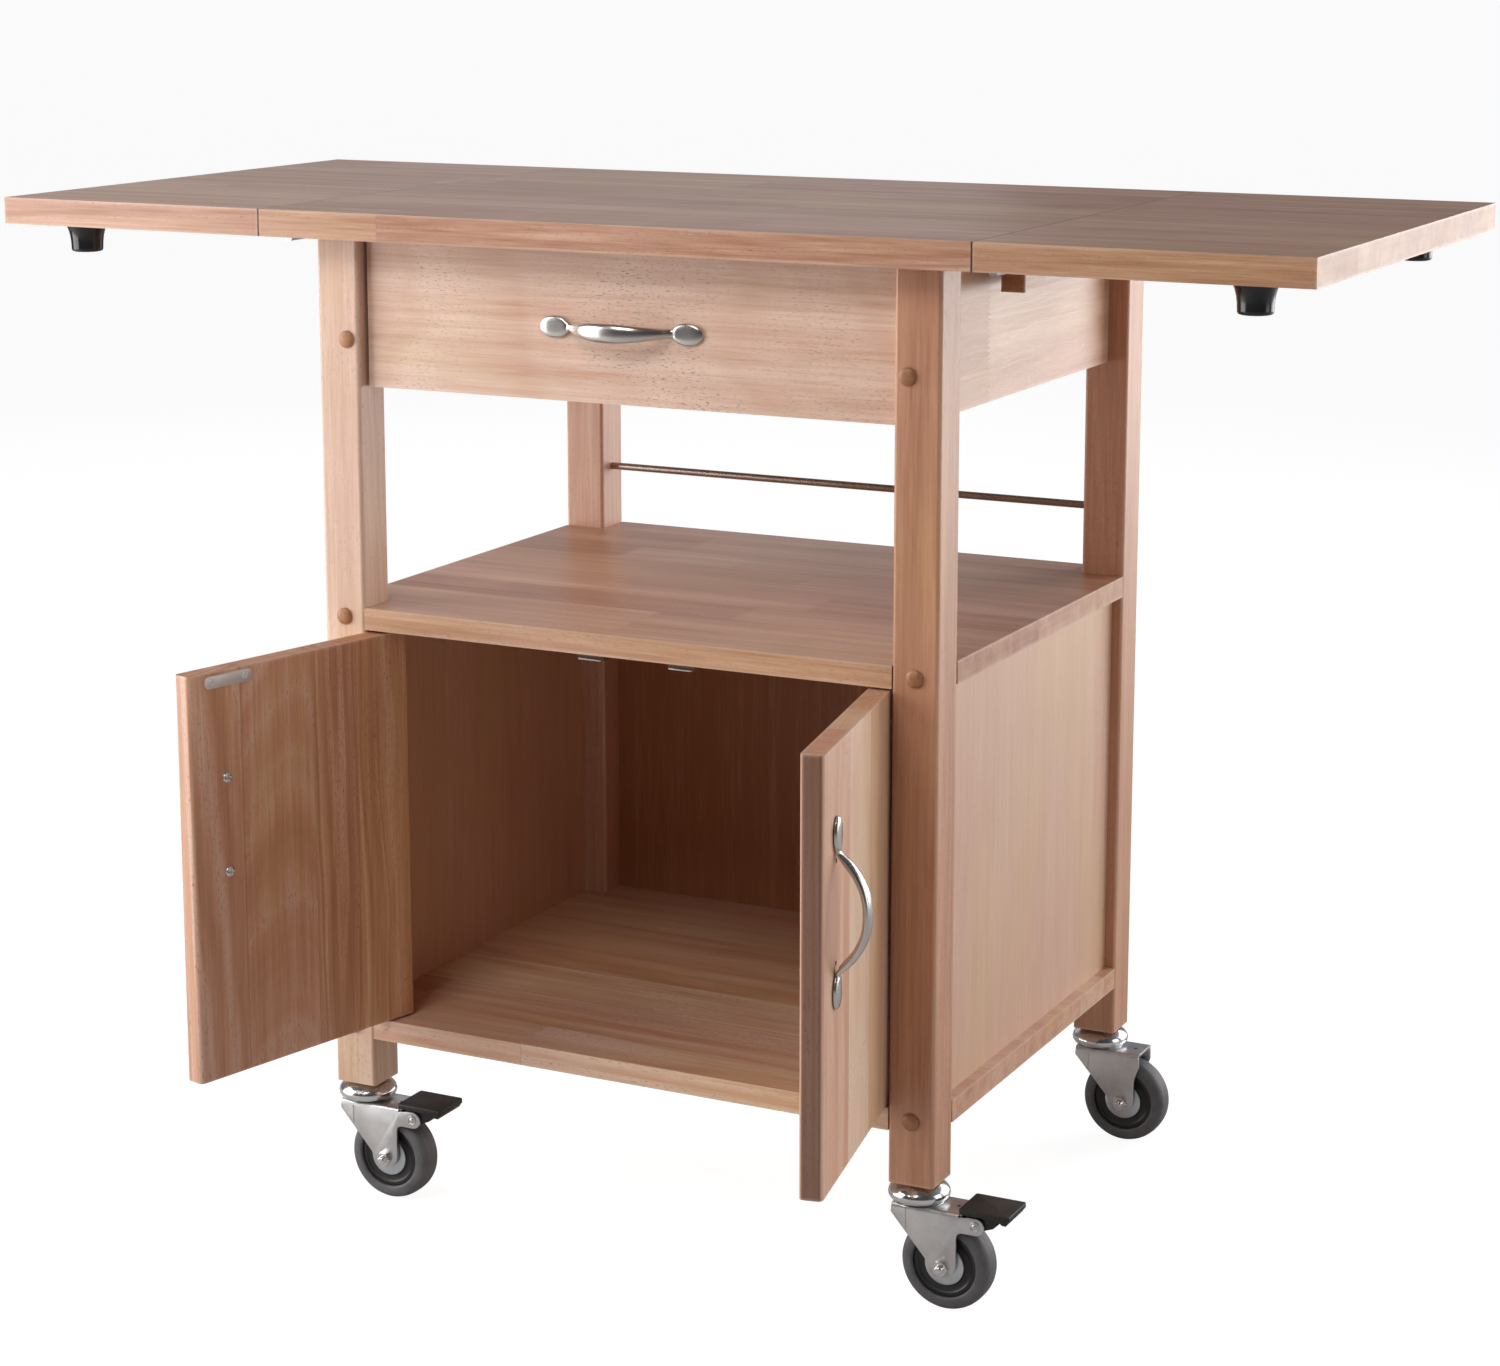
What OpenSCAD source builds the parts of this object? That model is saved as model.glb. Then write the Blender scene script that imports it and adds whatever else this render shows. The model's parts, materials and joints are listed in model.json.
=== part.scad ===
// Kitchen island cart with two drop leaves, a drawer, an open bay, a cabinet and casters.
// Millimetres. The origin is on the floor under the middle of the base.
// +X is to the right, +Y is to the back and +Z is up.
// Drawn with both leaves up, the leaf supports folded away and the cabinet doors open.

/* [Overall] */
// Height of the worktop above the floor
overall_height = 838; // [760:1:960]
// Width over the outer faces of the legs
base_width = 548; // [440:2:700]
// Depth over the outer faces of the legs
base_depth = 440; // [360:2:560]
// How far the centre of the worktop stands past the legs at each side
side_overhang = 35; // [34:1:60]
// How far the worktop stands past the legs at the front and the back
front_overhang = 30; // [10:1:60]

/* [Worktop] */
// Thickness of the centre panel and the leaves
top_thickness = 22; // [18:1:30]
// Length of each leaf, out from the centre panel
leaf_length = 255.4; // [210:0.2:320]
// Gap between the centre panel and a leaf
leaf_gap = 0.6; // [0.4:0.1:2]
// Distance from the end of a leaf to the centre of its bumpers
bumper_end_inset = 55; // [30:1:90]
// Distance from the long edge of a leaf to the centre of a bumper
bumper_edge_inset = 38; // [24:1:70]
// Height of a leaf bumper
bumper_height = 24; // [10:1:30]
// Diameter of a bumper where it meets the leaf
bumper_base_d = 36; // [20:1:44]
// Diameter of a bumper at its tip
bumper_tip_d = 26; // [10:1:34]

/* [Leaf hinges] */
// Length of each leaf hinge
hinge_length = 40; // [30:1:60]
// Width of one flap of a leaf hinge
hinge_flap = 24; // [16:1:26]
// Thickness of a hinge flap
hinge_thickness = 2; // [1:0.2:3]
// Radius of the knuckles of a leaf hinge
knuckle_r = 3.5; // [2.6:0.1:4]
// Radius of the hinge pin
hinge_pin_r = 1.5; // [1:0.1:1.8]
// Distance from the long edge of the worktop to the centre of a hinge
hinge_edge_inset = 62; // [40:1:80]

/* [Leaf supports] */
// Length of a swing-out leaf support
support_length = 184; // [150:1:200]
// Width of a leaf support
support_width = 20; // [16:1:24]
// Depth of a leaf support
support_depth = 30; // [20:1:40]
// Distance from the pivot of a leaf support to its inner end
support_tail = 18; // [14:1:20]
// Distance from the front edge of the worktop to the pivot of a leaf support
support_pivot_inset = 165; // [130:1:180]
// Radius of the pivot bolt of a leaf support
support_bolt_r = 3; // [2:0.5:4]

/* [Legs and frame] */
// Side of the square legs
leg_size = 38; // [34:1:46]
// Radius of the long edges of a leg
leg_edge_r = 3; // [1:0.5:4]
// Thickness of the aprons under the worktop
apron_thickness = 18; // [14:1:20]
// How far the side aprons are set in from the outer faces of the legs
apron_inset = 18; // [16:1:22]
// Height of the aprons
apron_height = 119.5; // [90:0.5:140]
// Thickness of the side and back panels of the cabinet
panel_thickness = 5; // [3:0.5:8]
// How far the side panels are set in from the outer faces of the legs
side_panel_inset = 9.5; // [5:0.5:12]
// How far the back panel stands behind the front faces of the rear legs
back_panel_setback = 27; // [20:0.5:29]
// Depth of the grooves that hold the panels
groove_depth = 5; // [3:0.5:7]
// Diameter of the rear rod
rod_d = 6.5; // [5:0.5:10]
// Height of the rear rod above the middle shelf
rod_above_shelf = 56; // [30:1:90]

/* [Shelves] */
// Thickness of the middle and bottom shelves
shelf_thickness = 18; // [15:1:24]
// Height of the top of the middle shelf
middle_shelf_top = 512; // [440:1:560]
// Height of the underside of the bottom shelf above the lower ends of the legs
bottom_shelf_lift = 42; // [42:1:70]

/* [Frame fasteners] */
// Diameter of the round head of a wood plug
plug_d = 14; // [12:0.5:18]
// How far a wood plug stands out of a leg
plug_dome = 3.4; // [2:0.2:5]
// Diameter of the counterbore that holds a bolt head and a plug
counterbore_d = 10; // [9:0.5:11]
// Depth of the counterbore
counterbore_depth = 14; // [11:1:18]
// Diameter of the shank of a frame bolt
bolt_d = 6; // [5:0.5:7]
// How far a frame bolt reaches past a leg
bolt_reach = 35; // [20:1:50]
// How far the upper plugs are below the top of the legs
upper_plug_drop = 84; // [30:1:100]

/* [Drawer] */
// Clear gap at each end of the drawer front
drawer_side_gap = 3; // [1:0.5:6]
// Gap between the drawer front and the worktop
drawer_top_gap = 3; // [1:0.5:6]
// Height of the drawer front
drawer_front_height = 119; // [90:1:130]
// Thickness of the drawer front
drawer_front_thickness = 18; // [15:1:22]
// How far the drawer front is set back from the legs
drawer_recess = 10.5; // [2:0.5:14]
// Thickness of the drawer box sides and back
drawer_wall = 12; // [9:1:15]
// Height of the drawer box sides
drawer_box_height = 84; // [60:1:86]
// Thickness of the drawer bottom
drawer_bottom_thickness = 4; // [3:0.5:6]
// Height of the drawer bottom above the lower edges of its sides
drawer_bottom_lift = 8; // [6:1:14]
// Depth of the grooves that hold the drawer bottom
drawer_groove = 5; // [3:0.5:6]
// Thickness of the wooden drawer runners
runner_width = 11; // [8:1:14]
// Thickness of the ledge of a drawer runner
runner_ledge = 8; // [6:1:12]

/* [Cabinet doors] */
// Thickness of the doors
door_thickness = 18; // [15:1:20]
// How far the closed doors are set back from the legs
door_recess = 8; // [6:0.5:12]
// Radius of the long edges of a door
door_edge_r = 4; // [3:0.5:6]
// Distance from the pivot of a door to the leg beside it
door_pivot_offset = 14; // [14:0.5:18]
// Gap between a door and the leg beside it
door_leg_gap = 2.5; // [2:0.5:3]
// Gap between a door and the shelves above and below it
door_shelf_gap = 2; // [1.5:0.5:4]
// Gap between the two closed doors
door_middle_gap = 3; // [2:0.5:6]
// Radius of a door pivot pin
door_pin_r = 3; // [2:0.5:4]
// How far a door pivot pin reaches into a door or a shelf
door_pin_reach = 12; // [8:1:14]
// Angle at which the left door stands open
left_door_angle = 104; // [0:1:105]
// Angle at which the right door stands open
right_door_angle = 101; // [0:1:105]

/* [Pulls, strikes and catches] */
// Distance between the two screws of a pull
pull_centres = 76.2; // [60:0.1:100]
// Overall length of a pull
pull_length = 144; // [130:1:190]
// How far the bow of a pull stands off the surface
pull_projection = 28; // [24:1:36]
// Radius of the bow of a pull
pull_bow_r = 4.5; // [3:0.5:6]
// Width of the foot of a pull
pull_foot_width = 17.5; // [12:0.5:18]
// Distance from the middle of a door pull to the free edge of the door
door_pull_inset = 37; // [25:1:60]
// Height of a door pull above the middle of the door
door_pull_lift = 40.5; // [0:0.5:60]
// Length of a strike plate
strike_length = 48; // [40:1:60]
// Width of a strike plate
strike_width = 10; // [8:1:12]
// Thickness of a strike plate
strike_thickness = 1; // [0.8:0.1:1.5]
// Distance from the top of a door to the middle of its strike plate
strike_drop = 7.5; // [6:0.5:12]
// Distance from the free edge of a door to the middle of its strike plate
strike_inset = 39.5; // [30:0.5:60]
// Width of a magnetic catch
catch_width = 24; // [18:1:40]
// Height of a magnetic catch
catch_height = 13; // [12:1:18]
// Length of a magnetic catch, front to back
catch_length = 34; // [20:1:50]

/* [Casters] */
// Diameter of a caster wheel
wheel_d = 75; // [60:1:90]
// Width of a caster wheel
wheel_width = 24; // [18:1:28]
// Distance from the swivel axis to the axle
caster_trail = 26; // [22:1:30]
// Diameter of the swivel housing
housing_d = 49; // [40:1:54]
// Height of the swivel housing
housing_height = 17; // [12:1:22]
// Thickness of the fork's sheet metal
fork_sheet = 2.5; // [2:0.1:3]
// Gap between the wheel and the crown of the fork
crown_gap = 6.2; // [6:0.1:10]
// Radius of the axle
axle_r = 4; // [3:0.5:5]
// Radius of the caster's stem
stem_r = 4; // [3:0.5:6]
// How far the stem reaches into a leg
stem_reach = 36; // [20:1:38]
// Radius of the kingpin that the fork turns on
kingpin_r = 5; // [4:0.5:7]
// Width of the brake pedal
pedal_width = 37; // [30:1:44]
// Length of the top plate of the brake pedal
pedal_length = 42; // [34:1:48]
// Radius of the rivet that holds the brake pedal
rivet_r = 2.5; // [2:0.5:3]

/* [Fits] */
// Radial clearance of a pin or shaft that turns in its hole
running_clearance = 0.05; // [0.02:0.01:0.1]
// Gap between neighbouring pieces that move past each other
sliding_gap = 0.3; // [0.3:0.1:1]
// Radial clearance of a bolt in its hole
bolt_clearance = 0.05; // [0.05:0.05:0.4]

/* [Hidden] */
$fn = 48;
cut = 1;

wood = [0.86, 0.68, 0.50];
wood_dark = [0.74, 0.54, 0.38];
nickel = [0.66, 0.64, 0.61];
zinc = [0.78, 0.80, 0.82];
black = [0.07, 0.07, 0.08];
grey_rubber = [0.30, 0.30, 0.32];

// Worktop
centre_half = base_width / 2 + side_overhang;
top_half_depth = base_depth / 2 + front_overhang;
top_underside = overall_height - top_thickness;
hinge_axis_x = centre_half + leaf_gap / 2;
hinge_axis_z = top_underside - knuckle_r - 0.5;
hinge_y = top_half_depth - hinge_edge_inset;
leaf_start = centre_half + leaf_gap;

// Legs
half_w = base_width / 2;
half_d = base_depth / 2;
leg_inner_x = half_w - leg_size;
leg_inner_y = half_d - leg_size;
leg_x = half_w - leg_size / 2;
leg_y = half_d - leg_size / 2;
caster_height = wheel_d + crown_gap + fork_sheet + sliding_gap + housing_height;
leg_length = top_underside - caster_height;

// Aprons and shelves
apron_bottom = top_underside - apron_height;
apron_outer_x = half_w - apron_inset;
apron_inner_x = apron_outer_x - apron_thickness;
apron_mid_x = apron_outer_x - apron_thickness / 2;
bottom_shelf_bottom = caster_height + bottom_shelf_lift;
bottom_shelf_top = bottom_shelf_bottom + shelf_thickness;
middle_shelf_bottom = middle_shelf_top - shelf_thickness;
side_panel_x = half_w - side_panel_inset - panel_thickness;
back_panel_y = leg_inner_y + back_panel_setback;

// Each frame bolt of one corner: across from the middle, and height
bolt_places = [[apron_mid_x, top_underside - upper_plug_drop],
    [leg_x, middle_shelf_top - shelf_thickness / 2],
    [leg_x, bottom_shelf_top - shelf_thickness / 2]];
bolt_head_length = 6;
bolt_head_d = counterbore_d - 0.4;

// Leaf supports
support_x = (centre_half + apron_outer_x) / 2;
support_y = support_pivot_inset - top_half_depth;
support_top = top_underside - 0.5;
support_head_r = support_bolt_r * 2;
support_head_height = 4;
support_bolt_bite = 14;

// Drawer
drawer_half = leg_inner_x - drawer_side_gap;
drawer_front_top = top_underside - drawer_top_gap;
drawer_front_y = drawer_recess - half_d;
drawer_box_y = drawer_front_y + drawer_front_thickness;
drawer_box_half = apron_inner_x - runner_width - 1;
drawer_box_bottom = drawer_front_top - drawer_front_height + 14;
drawer_box_end = leg_inner_y - 12;
drawer_pull_z = drawer_front_top - drawer_front_height / 2 - 1;

// Cabinet doors
door_pivot_x = leg_inner_x - door_pivot_offset;
door_pivot_y = door_recess + door_thickness / 2 - half_d;
door_near = door_leg_gap - door_pivot_offset;
door_far = door_pivot_x - door_middle_gap / 2;
door_bottom = bottom_shelf_top + door_shelf_gap;
door_top = middle_shelf_bottom - door_shelf_gap;
door_pull_x = door_far - door_pull_inset;
door_pull_z = (door_bottom + door_top) / 2 + door_pull_lift;
catch_front_y = door_pivot_y + door_thickness / 2 + strike_thickness + sliding_gap;
catch_x = door_pivot_x - door_far + strike_inset;

// Pulls
pull_half = pull_centres / 2;
pull_rise = 14.5;
pull_bow_half = 45;
pull_arc_r = (pull_bow_half * pull_bow_half + pull_rise * pull_rise) / (2 * pull_rise);
pull_arc_angle = asin(pull_bow_half / pull_arc_r);
pull_arc_centre = pull_projection - pull_bow_r - pull_arc_r;
pull_foot_thickness = 3.5;
pull_post_r = 5;
pull_screw_r = 2;

// Casters
axle_z = wheel_d / 2;
crown_z = wheel_d + crown_gap;
housing_z = crown_z + fork_sheet + sliding_gap;
fork_inner = wheel_width / 2 + 2;
fork_outer = fork_inner + fork_sheet;
rivet_x = caster_trail + 27.5;
rivet_z = wheel_d + 1;
tyre_inner_r = wheel_d / 2 - 11;
disc_r = 16.3;

// ---------- shared shapes ----------

module both_sides() {
    children();
    mirror([1, 0, 0]) children();
}

module front_and_back() {
    children();
    mirror([0, 1, 0]) children();
}

// A flat outline with round corners, from corner to corner
module round_outline(low, high, r) {
    w = high[0] - low[0];
    d = high[1] - low[1];
    translate([low[0] + r, low[1]]) square([w - 2 * r, d]);
    translate([low[0], low[1] + r]) square([w, d - 2 * r]);
    for (x = [low[0] + r, high[0] - r], y = [low[1] + r, high[1] - r])
        translate([x, y]) circle(r);
}

// A cylinder along Y, from y0 to y1
module y_cylinder(x, z, r, y0, y1) {
    translate([x, y0, z]) rotate([-90, 0, 0]) cylinder(r = r, h = y1 - y0);
}

// A bow pull that stands on the XZ plane and runs along Z, with its bow towards -Y
module bow_pull() {
    difference() {
        union() {
            translate([0, -pull_arc_centre, 0])
                rotate([0, 90, 0])
                rotate([0, 0, -90 - pull_arc_angle])
                rotate_extrude(angle = 2 * pull_arc_angle)
                translate([pull_arc_r, 0]) circle(pull_bow_r);
            for (s = [-1, 1]) {
                y_cylinder(0, s * pull_half, pull_post_r, pull_half * pull_half / (2 * pull_arc_r)
                    - pull_projection + pull_bow_r, 0);
                rotate([90, 0, 0])
                    linear_extrude(pull_foot_thickness)
                    round_outline([-pull_foot_width / 2, s > 0 ? pull_half - 8 : -pull_length / 2],
                        [pull_foot_width / 2, s > 0 ? pull_length / 2 : 8 - pull_half],
                        pull_foot_width / 2 - 0.5);
            }
        }
        for (s = [-1, 1])
            y_cylinder(0, s * pull_half, pull_screw_r, -9, cut);
    }
}

// The two screws of a pull, put in from the back of a board of this thickness
module pull_screws(board) {
    for (s = [-1, 1]) {
        y_cylinder(0, s * pull_half, pull_screw_r, -8, board + 0.5);
        y_cylinder(0, s * pull_half, pull_screw_r * 2.1, board, board + 2.6);
    }
}

// ---------- legs and frame ----------

module corner_bolt_holes(x, z) {
    y_cylinder(x, z, counterbore_d / 2, -half_d - cut, counterbore_depth - half_d);
    y_cylinder(x, z, bolt_d / 2 + bolt_clearance, -half_d, -leg_inner_y + bolt_reach + cut);
}

module all_bolt_holes() {
    both_sides() front_and_back()
        for (p = bolt_places) corner_bolt_holes(p[0], p[1]);
}

// The front right leg; the others are its mirror images
module leg(rear) {
    color(wood)
    difference() {
        translate([0, 0, caster_height])
            linear_extrude(leg_length)
            round_outline([leg_inner_x, -half_d], [half_w, -leg_inner_y], leg_edge_r);
        for (p = bolt_places) corner_bolt_holes(p[0], p[1]);
        translate([side_panel_x, -leg_inner_y - groove_depth, bottom_shelf_top])
            cube([panel_thickness, groove_depth + cut, middle_shelf_bottom - bottom_shelf_top]);
        translate([leg_x, -leg_y, caster_height - cut])
            cylinder(r = stem_r + bolt_clearance, h = stem_reach + cut);
        if (rear) {
            translate([leg_inner_x - cut, -back_panel_y - panel_thickness, bottom_shelf_top])
                cube([groove_depth + cut, panel_thickness, middle_shelf_bottom - bottom_shelf_top]);
            translate([leg_inner_x - cut, -leg_y, middle_shelf_top + rod_above_shelf])
                rotate([0, 90, 0])
                cylinder(d = rod_d, h = groove_depth * 2 + cut);
        }
    }
}

module leg_front_left() mirror([1, 0, 0]) leg(false);
module leg_front_right() leg(false);
module leg_rear_left() mirror([1, 0, 0]) mirror([0, 1, 0]) leg(true);
module leg_rear_right() mirror([0, 1, 0]) leg(true);

module side_aprons() {
    color(wood)
    difference() {
        both_sides()
            translate([apron_inner_x, -leg_inner_y, apron_bottom])
            cube([apron_thickness, 2 * leg_inner_y, apron_height]);
        all_bolt_holes();
    }
}

module rear_apron() {
    color(wood)
        translate([-leg_inner_x, leg_y - apron_thickness / 2, apron_bottom])
        cube([2 * leg_inner_x, apron_thickness, apron_height]);
}

// A shelf with a notch for each leg
module shelf(bottom) {
    color(wood)
    difference() {
        translate([-half_w, -half_d, bottom])
            cube([base_width, base_depth, shelf_thickness]);
        both_sides() front_and_back()
            translate([leg_inner_x, leg_inner_y, bottom - cut])
            cube([leg_size + cut, leg_size + cut, shelf_thickness + 2 * cut]);
        all_bolt_holes();
        both_sides() door_pins(door_pin_r);
    }
}

module middle_shelf() shelf(middle_shelf_bottom);
module bottom_shelf() shelf(bottom_shelf_bottom);

module side_panels() {
    color(wood_dark)
        both_sides()
        translate([side_panel_x, -leg_inner_y - groove_depth, bottom_shelf_top])
        cube([panel_thickness, 2 * (leg_inner_y + groove_depth),
            middle_shelf_bottom - bottom_shelf_top]);
}

module back_panel() {
    color(wood_dark)
        translate([-leg_inner_x - groove_depth, back_panel_y, bottom_shelf_top])
        cube([2 * (leg_inner_x + groove_depth), panel_thickness,
            middle_shelf_bottom - bottom_shelf_top]);
}

module rear_rod() {
    color(nickel)
        translate([-leg_inner_x - groove_depth * 2, leg_y, middle_shelf_top + rod_above_shelf])
        rotate([0, 90, 0])
        cylinder(d = rod_d, h = 2 * (leg_inner_x + groove_depth * 2));
}

// A plug is a stem in the counterbore and a shallow dome, cut from a sphere, on the leg
module wood_plug(x, z) {
    dome_r = (plug_d * plug_d / 4 + plug_dome * plug_dome) / (2 * plug_dome);
    y_cylinder(x, z, counterbore_d / 2, -half_d, counterbore_depth - bolt_head_length - half_d);
    intersection() {
        translate([x, dome_r - plug_dome - half_d, z]) sphere(dome_r);
        y_cylinder(x, z, plug_d / 2, -half_d - plug_dome - cut, -half_d);
    }
}

module wood_plugs() {
    color(wood_dark)
        both_sides() front_and_back()
        for (p = bolt_places) wood_plug(p[0], p[1]);
}

module frame_bolts() {
    seat = counterbore_depth - half_d;
    color(zinc)
        both_sides() front_and_back()
        for (p = bolt_places) {
            y_cylinder(p[0], p[1], bolt_head_d / 2, seat - bolt_head_length, seat);
            y_cylinder(p[0], p[1], bolt_d / 2, seat - cut, bolt_reach - leg_inner_y);
        }
}

// ---------- worktop, leaves and supports ----------

module tabletop() {
    color(wood)
    difference() {
        translate([-centre_half, -top_half_depth, top_underside])
            cube([2 * centre_half, 2 * top_half_depth, top_thickness]);
        both_sides()
            translate([support_x, support_y, top_underside - cut])
            cylinder(r = support_bolt_r, h = support_bolt_bite + cut);
    }
}

// The right leaf
module leaf() {
    color(wood)
        translate([leaf_start, -top_half_depth, top_underside])
        cube([leaf_length, 2 * top_half_depth, top_thickness]);
}

// One half of the hinge on the right: its flap lies outboard for the leaf and inboard for the top.
// The top's half has the middle knuckle, half the length, and the leaf's half has the outer two.
module hinge_half(side, knuckles, bore_r) {
    flap_start = knuckle_r + sliding_gap * 2;
    difference() {
        union() {
            translate([side > 0 ? hinge_axis_x + flap_start : hinge_axis_x - flap_start - hinge_flap,
                -hinge_length / 2, top_underside - hinge_thickness])
                cube([hinge_flap, hinge_length, hinge_thickness]);
            for (k = knuckles) {
                y_cylinder(hinge_axis_x, hinge_axis_z, knuckle_r, k[0], k[1]);
                translate([side > 0 ? hinge_axis_x : hinge_axis_x - flap_start - cut, k[0],
                    hinge_axis_z + knuckle_r - hinge_thickness])
                    cube([flap_start + cut, k[1] - k[0], hinge_thickness]);
            }
        }
        y_cylinder(hinge_axis_x, hinge_axis_z, bore_r, -hinge_length, hinge_length);
    }
}

module top_hinge_flap() {
    middle = hinge_length / 4;
    hinge_half(-1, [[-middle, middle]], hinge_pin_r);
    y_cylinder(hinge_axis_x, hinge_axis_z, hinge_pin_r, -hinge_length / 2, hinge_length / 2);
}

module leaf_hinge_flap() {
    start = hinge_length / 4 + sliding_gap;
    end = hinge_length / 2;
    hinge_half(1, [[-end, -start], [start, end]], hinge_pin_r + running_clearance);
}

module top_hinge_flaps() {
    color(zinc)
        both_sides() front_and_back()
        translate([0, hinge_y, 0]) top_hinge_flap();
}

module leaf_hinge_flaps() {
    color(zinc)
        front_and_back()
        translate([0, hinge_y, 0]) leaf_hinge_flap();
}

module leaf_bumpers() {
    color(black)
        front_and_back()
        translate([leaf_start + leaf_length - bumper_end_inset,
            top_half_depth - bumper_edge_inset, top_underside - bumper_height])
        cylinder(d1 = bumper_tip_d, d2 = bumper_base_d, h = bumper_height);
}

module leaf_right() leaf();
module leaf_right_hinge_flaps() leaf_hinge_flaps();
module leaf_right_bumpers() leaf_bumpers();
module leaf_left() mirror([1, 0, 0]) leaf();
module leaf_left_hinge_flaps() mirror([1, 0, 0]) leaf_hinge_flaps();
module leaf_left_bumpers() mirror([1, 0, 0]) leaf_bumpers();

// The right support, folded under the overhang with its free end to the back
module leaf_support() {
    color(wood)
    difference() {
        translate([support_x, support_y, support_top - support_depth])
            linear_extrude(support_depth)
            round_outline([-support_width / 2, -support_tail],
                [support_width / 2, support_length - support_tail], 2);
        translate([support_x, support_y, support_top - support_depth - cut]) {
            cylinder(r = support_bolt_r + running_clearance, h = support_depth + 2 * cut);
            cylinder(r = support_head_r + 1, h = support_head_height + 1 + cut);
        }
    }
}

module support_right() leaf_support();
module support_left() mirror([1, 0, 0]) leaf_support();

module support_pivot_bolts() {
    head_z = support_top - support_depth + 1 - sliding_gap;
    color(zinc)
        both_sides()
        translate([support_x, support_y, 0]) {
            translate([0, 0, head_z]) cylinder(r = support_head_r, h = support_head_height);
            translate([0, 0, head_z])
                cylinder(r = support_bolt_r, h = top_underside + support_bolt_bite - head_z);
        }
}

// ---------- drawer ----------

module drawer_runners() {
    foot = drawer_box_bottom - sliding_gap - runner_ledge;
    color(wood_dark)
        both_sides()
        difference() {
            translate([drawer_box_half - drawer_wall, -leg_inner_y, foot])
                cube([runner_width + 1 + drawer_wall, 2 * leg_inner_y, runner_ledge + 22]);
            translate([drawer_box_half - drawer_wall - cut, -leg_inner_y - cut,
                foot + runner_ledge])
                cube([drawer_wall + 1 + cut, 2 * leg_inner_y + 2 * cut, 22 + cut]);
        }
}

module drawer_front() {
    color(wood)
    difference() {
        translate([-drawer_half, drawer_front_y, drawer_front_top - drawer_front_height])
            cube([2 * drawer_half, drawer_front_thickness, drawer_front_height]);
        for (s = [-1, 1])
            y_cylinder(s * pull_half, drawer_pull_z, pull_screw_r + bolt_clearance,
                drawer_front_y - cut, drawer_box_y + cut);
        drawer_bottom_slab(0);
    }
}

module drawer_sides() {
    color(wood_dark)
    difference() {
        both_sides()
            translate([drawer_box_half - drawer_wall, drawer_box_y, drawer_box_bottom])
            cube([drawer_wall, drawer_box_end - drawer_box_y, drawer_box_height]);
        drawer_bottom_slab(0);
    }
}

module drawer_back() {
    color(wood_dark)
    difference() {
        translate([drawer_wall - drawer_box_half, drawer_box_end - drawer_wall,
            drawer_box_bottom])
            cube([2 * (drawer_box_half - drawer_wall), drawer_wall, drawer_box_height]);
        drawer_bottom_slab(0);
    }
}

// The drawer bottom, made smaller by this gap all round
module drawer_bottom_slab(gap) {
    half = drawer_box_half - drawer_wall + drawer_groove - gap;
    front = drawer_box_y - drawer_groove + gap;
    back = drawer_box_end - drawer_wall + drawer_groove - gap;
    translate([-half, front, drawer_box_bottom + drawer_bottom_lift])
        cube([2 * half, back - front, drawer_bottom_thickness]);
}

module drawer_bottom() color(wood_dark) drawer_bottom_slab(0.2);

module on_drawer() {
    translate([0, drawer_front_y, drawer_pull_z])
        rotate([0, 90, 0])
        children();
}

module drawer_pull() color(nickel) on_drawer() bow_pull();
module drawer_pull_screws() color(zinc) on_drawer() pull_screws(drawer_front_thickness);

// ---------- cabinet doors ----------

// The pins of the right door: the lower one has a collar that the door stands on
module door_pins(r) {
    translate([door_pivot_x, door_pivot_y, door_bottom - door_shelf_gap - door_pin_reach])
        cylinder(r = r, h = 2 * door_pin_reach + door_shelf_gap);
    translate([door_pivot_x, door_pivot_y, door_top - door_pin_reach])
        cylinder(r = r, h = 2 * door_pin_reach + door_shelf_gap);
}

module door_pivot_pins() {
    color(zinc)
        both_sides() {
            door_pins(door_pin_r);
            translate([door_pivot_x, door_pivot_y, bottom_shelf_top])
                cylinder(r = door_pin_r * 2, h = door_shelf_gap - sliding_gap);
        }
}

// Puts a door's pieces, drawn closed as a left door with the pivot at x = 0, y = 0, in place
module hang_door(side) {
    translate([side * door_pivot_x, door_pivot_y, 0])
        rotate([0, 0, side < 0 ? -left_door_angle : right_door_angle])
        mirror([side > 0 ? 1 : 0, 0, 0])
        children();
}

module door_board() {
    half = door_thickness / 2;
    color(wood)
    difference() {
        translate([0, 0, door_bottom])
            linear_extrude(door_top - door_bottom)
            round_outline([door_near, -half], [door_far, half], door_edge_r);
        for (z = [door_bottom - cut, door_top - door_pin_reach - cut])
            translate([0, 0, z])
                cylinder(r = door_pin_r + running_clearance, h = door_pin_reach + 2 * cut);
        for (s = [-1, 1])
            y_cylinder(door_pull_x, door_pull_z + s * pull_half, pull_screw_r + bolt_clearance,
                -half - cut, half + cut);
        for (s = [-1, 1])
            y_cylinder(door_far - strike_inset + s * strike_length * 0.35,
                door_top - strike_drop, 1, half - 10, half + cut);
    }
}

module door_pull_place() {
    translate([door_pull_x, -door_thickness / 2, door_pull_z]) children();
}

// A plate with round ends, and the two screws that hold it
module door_strike() {
    face = door_thickness / 2;
    color(nickel)
        translate([door_far - strike_inset, 0, door_top - strike_drop]) {
            translate([0, face + strike_thickness, 0])
                rotate([90, 0, 0])
                linear_extrude(strike_thickness)
                round_outline([-strike_length / 2, -strike_width / 2],
                    [strike_length / 2, strike_width / 2], strike_width / 2 - 0.5);
            for (s = [-1, 1])
                y_cylinder(s * strike_length * 0.35, 0, 1, face - 9, face + cut / 2);
        }
}

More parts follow.
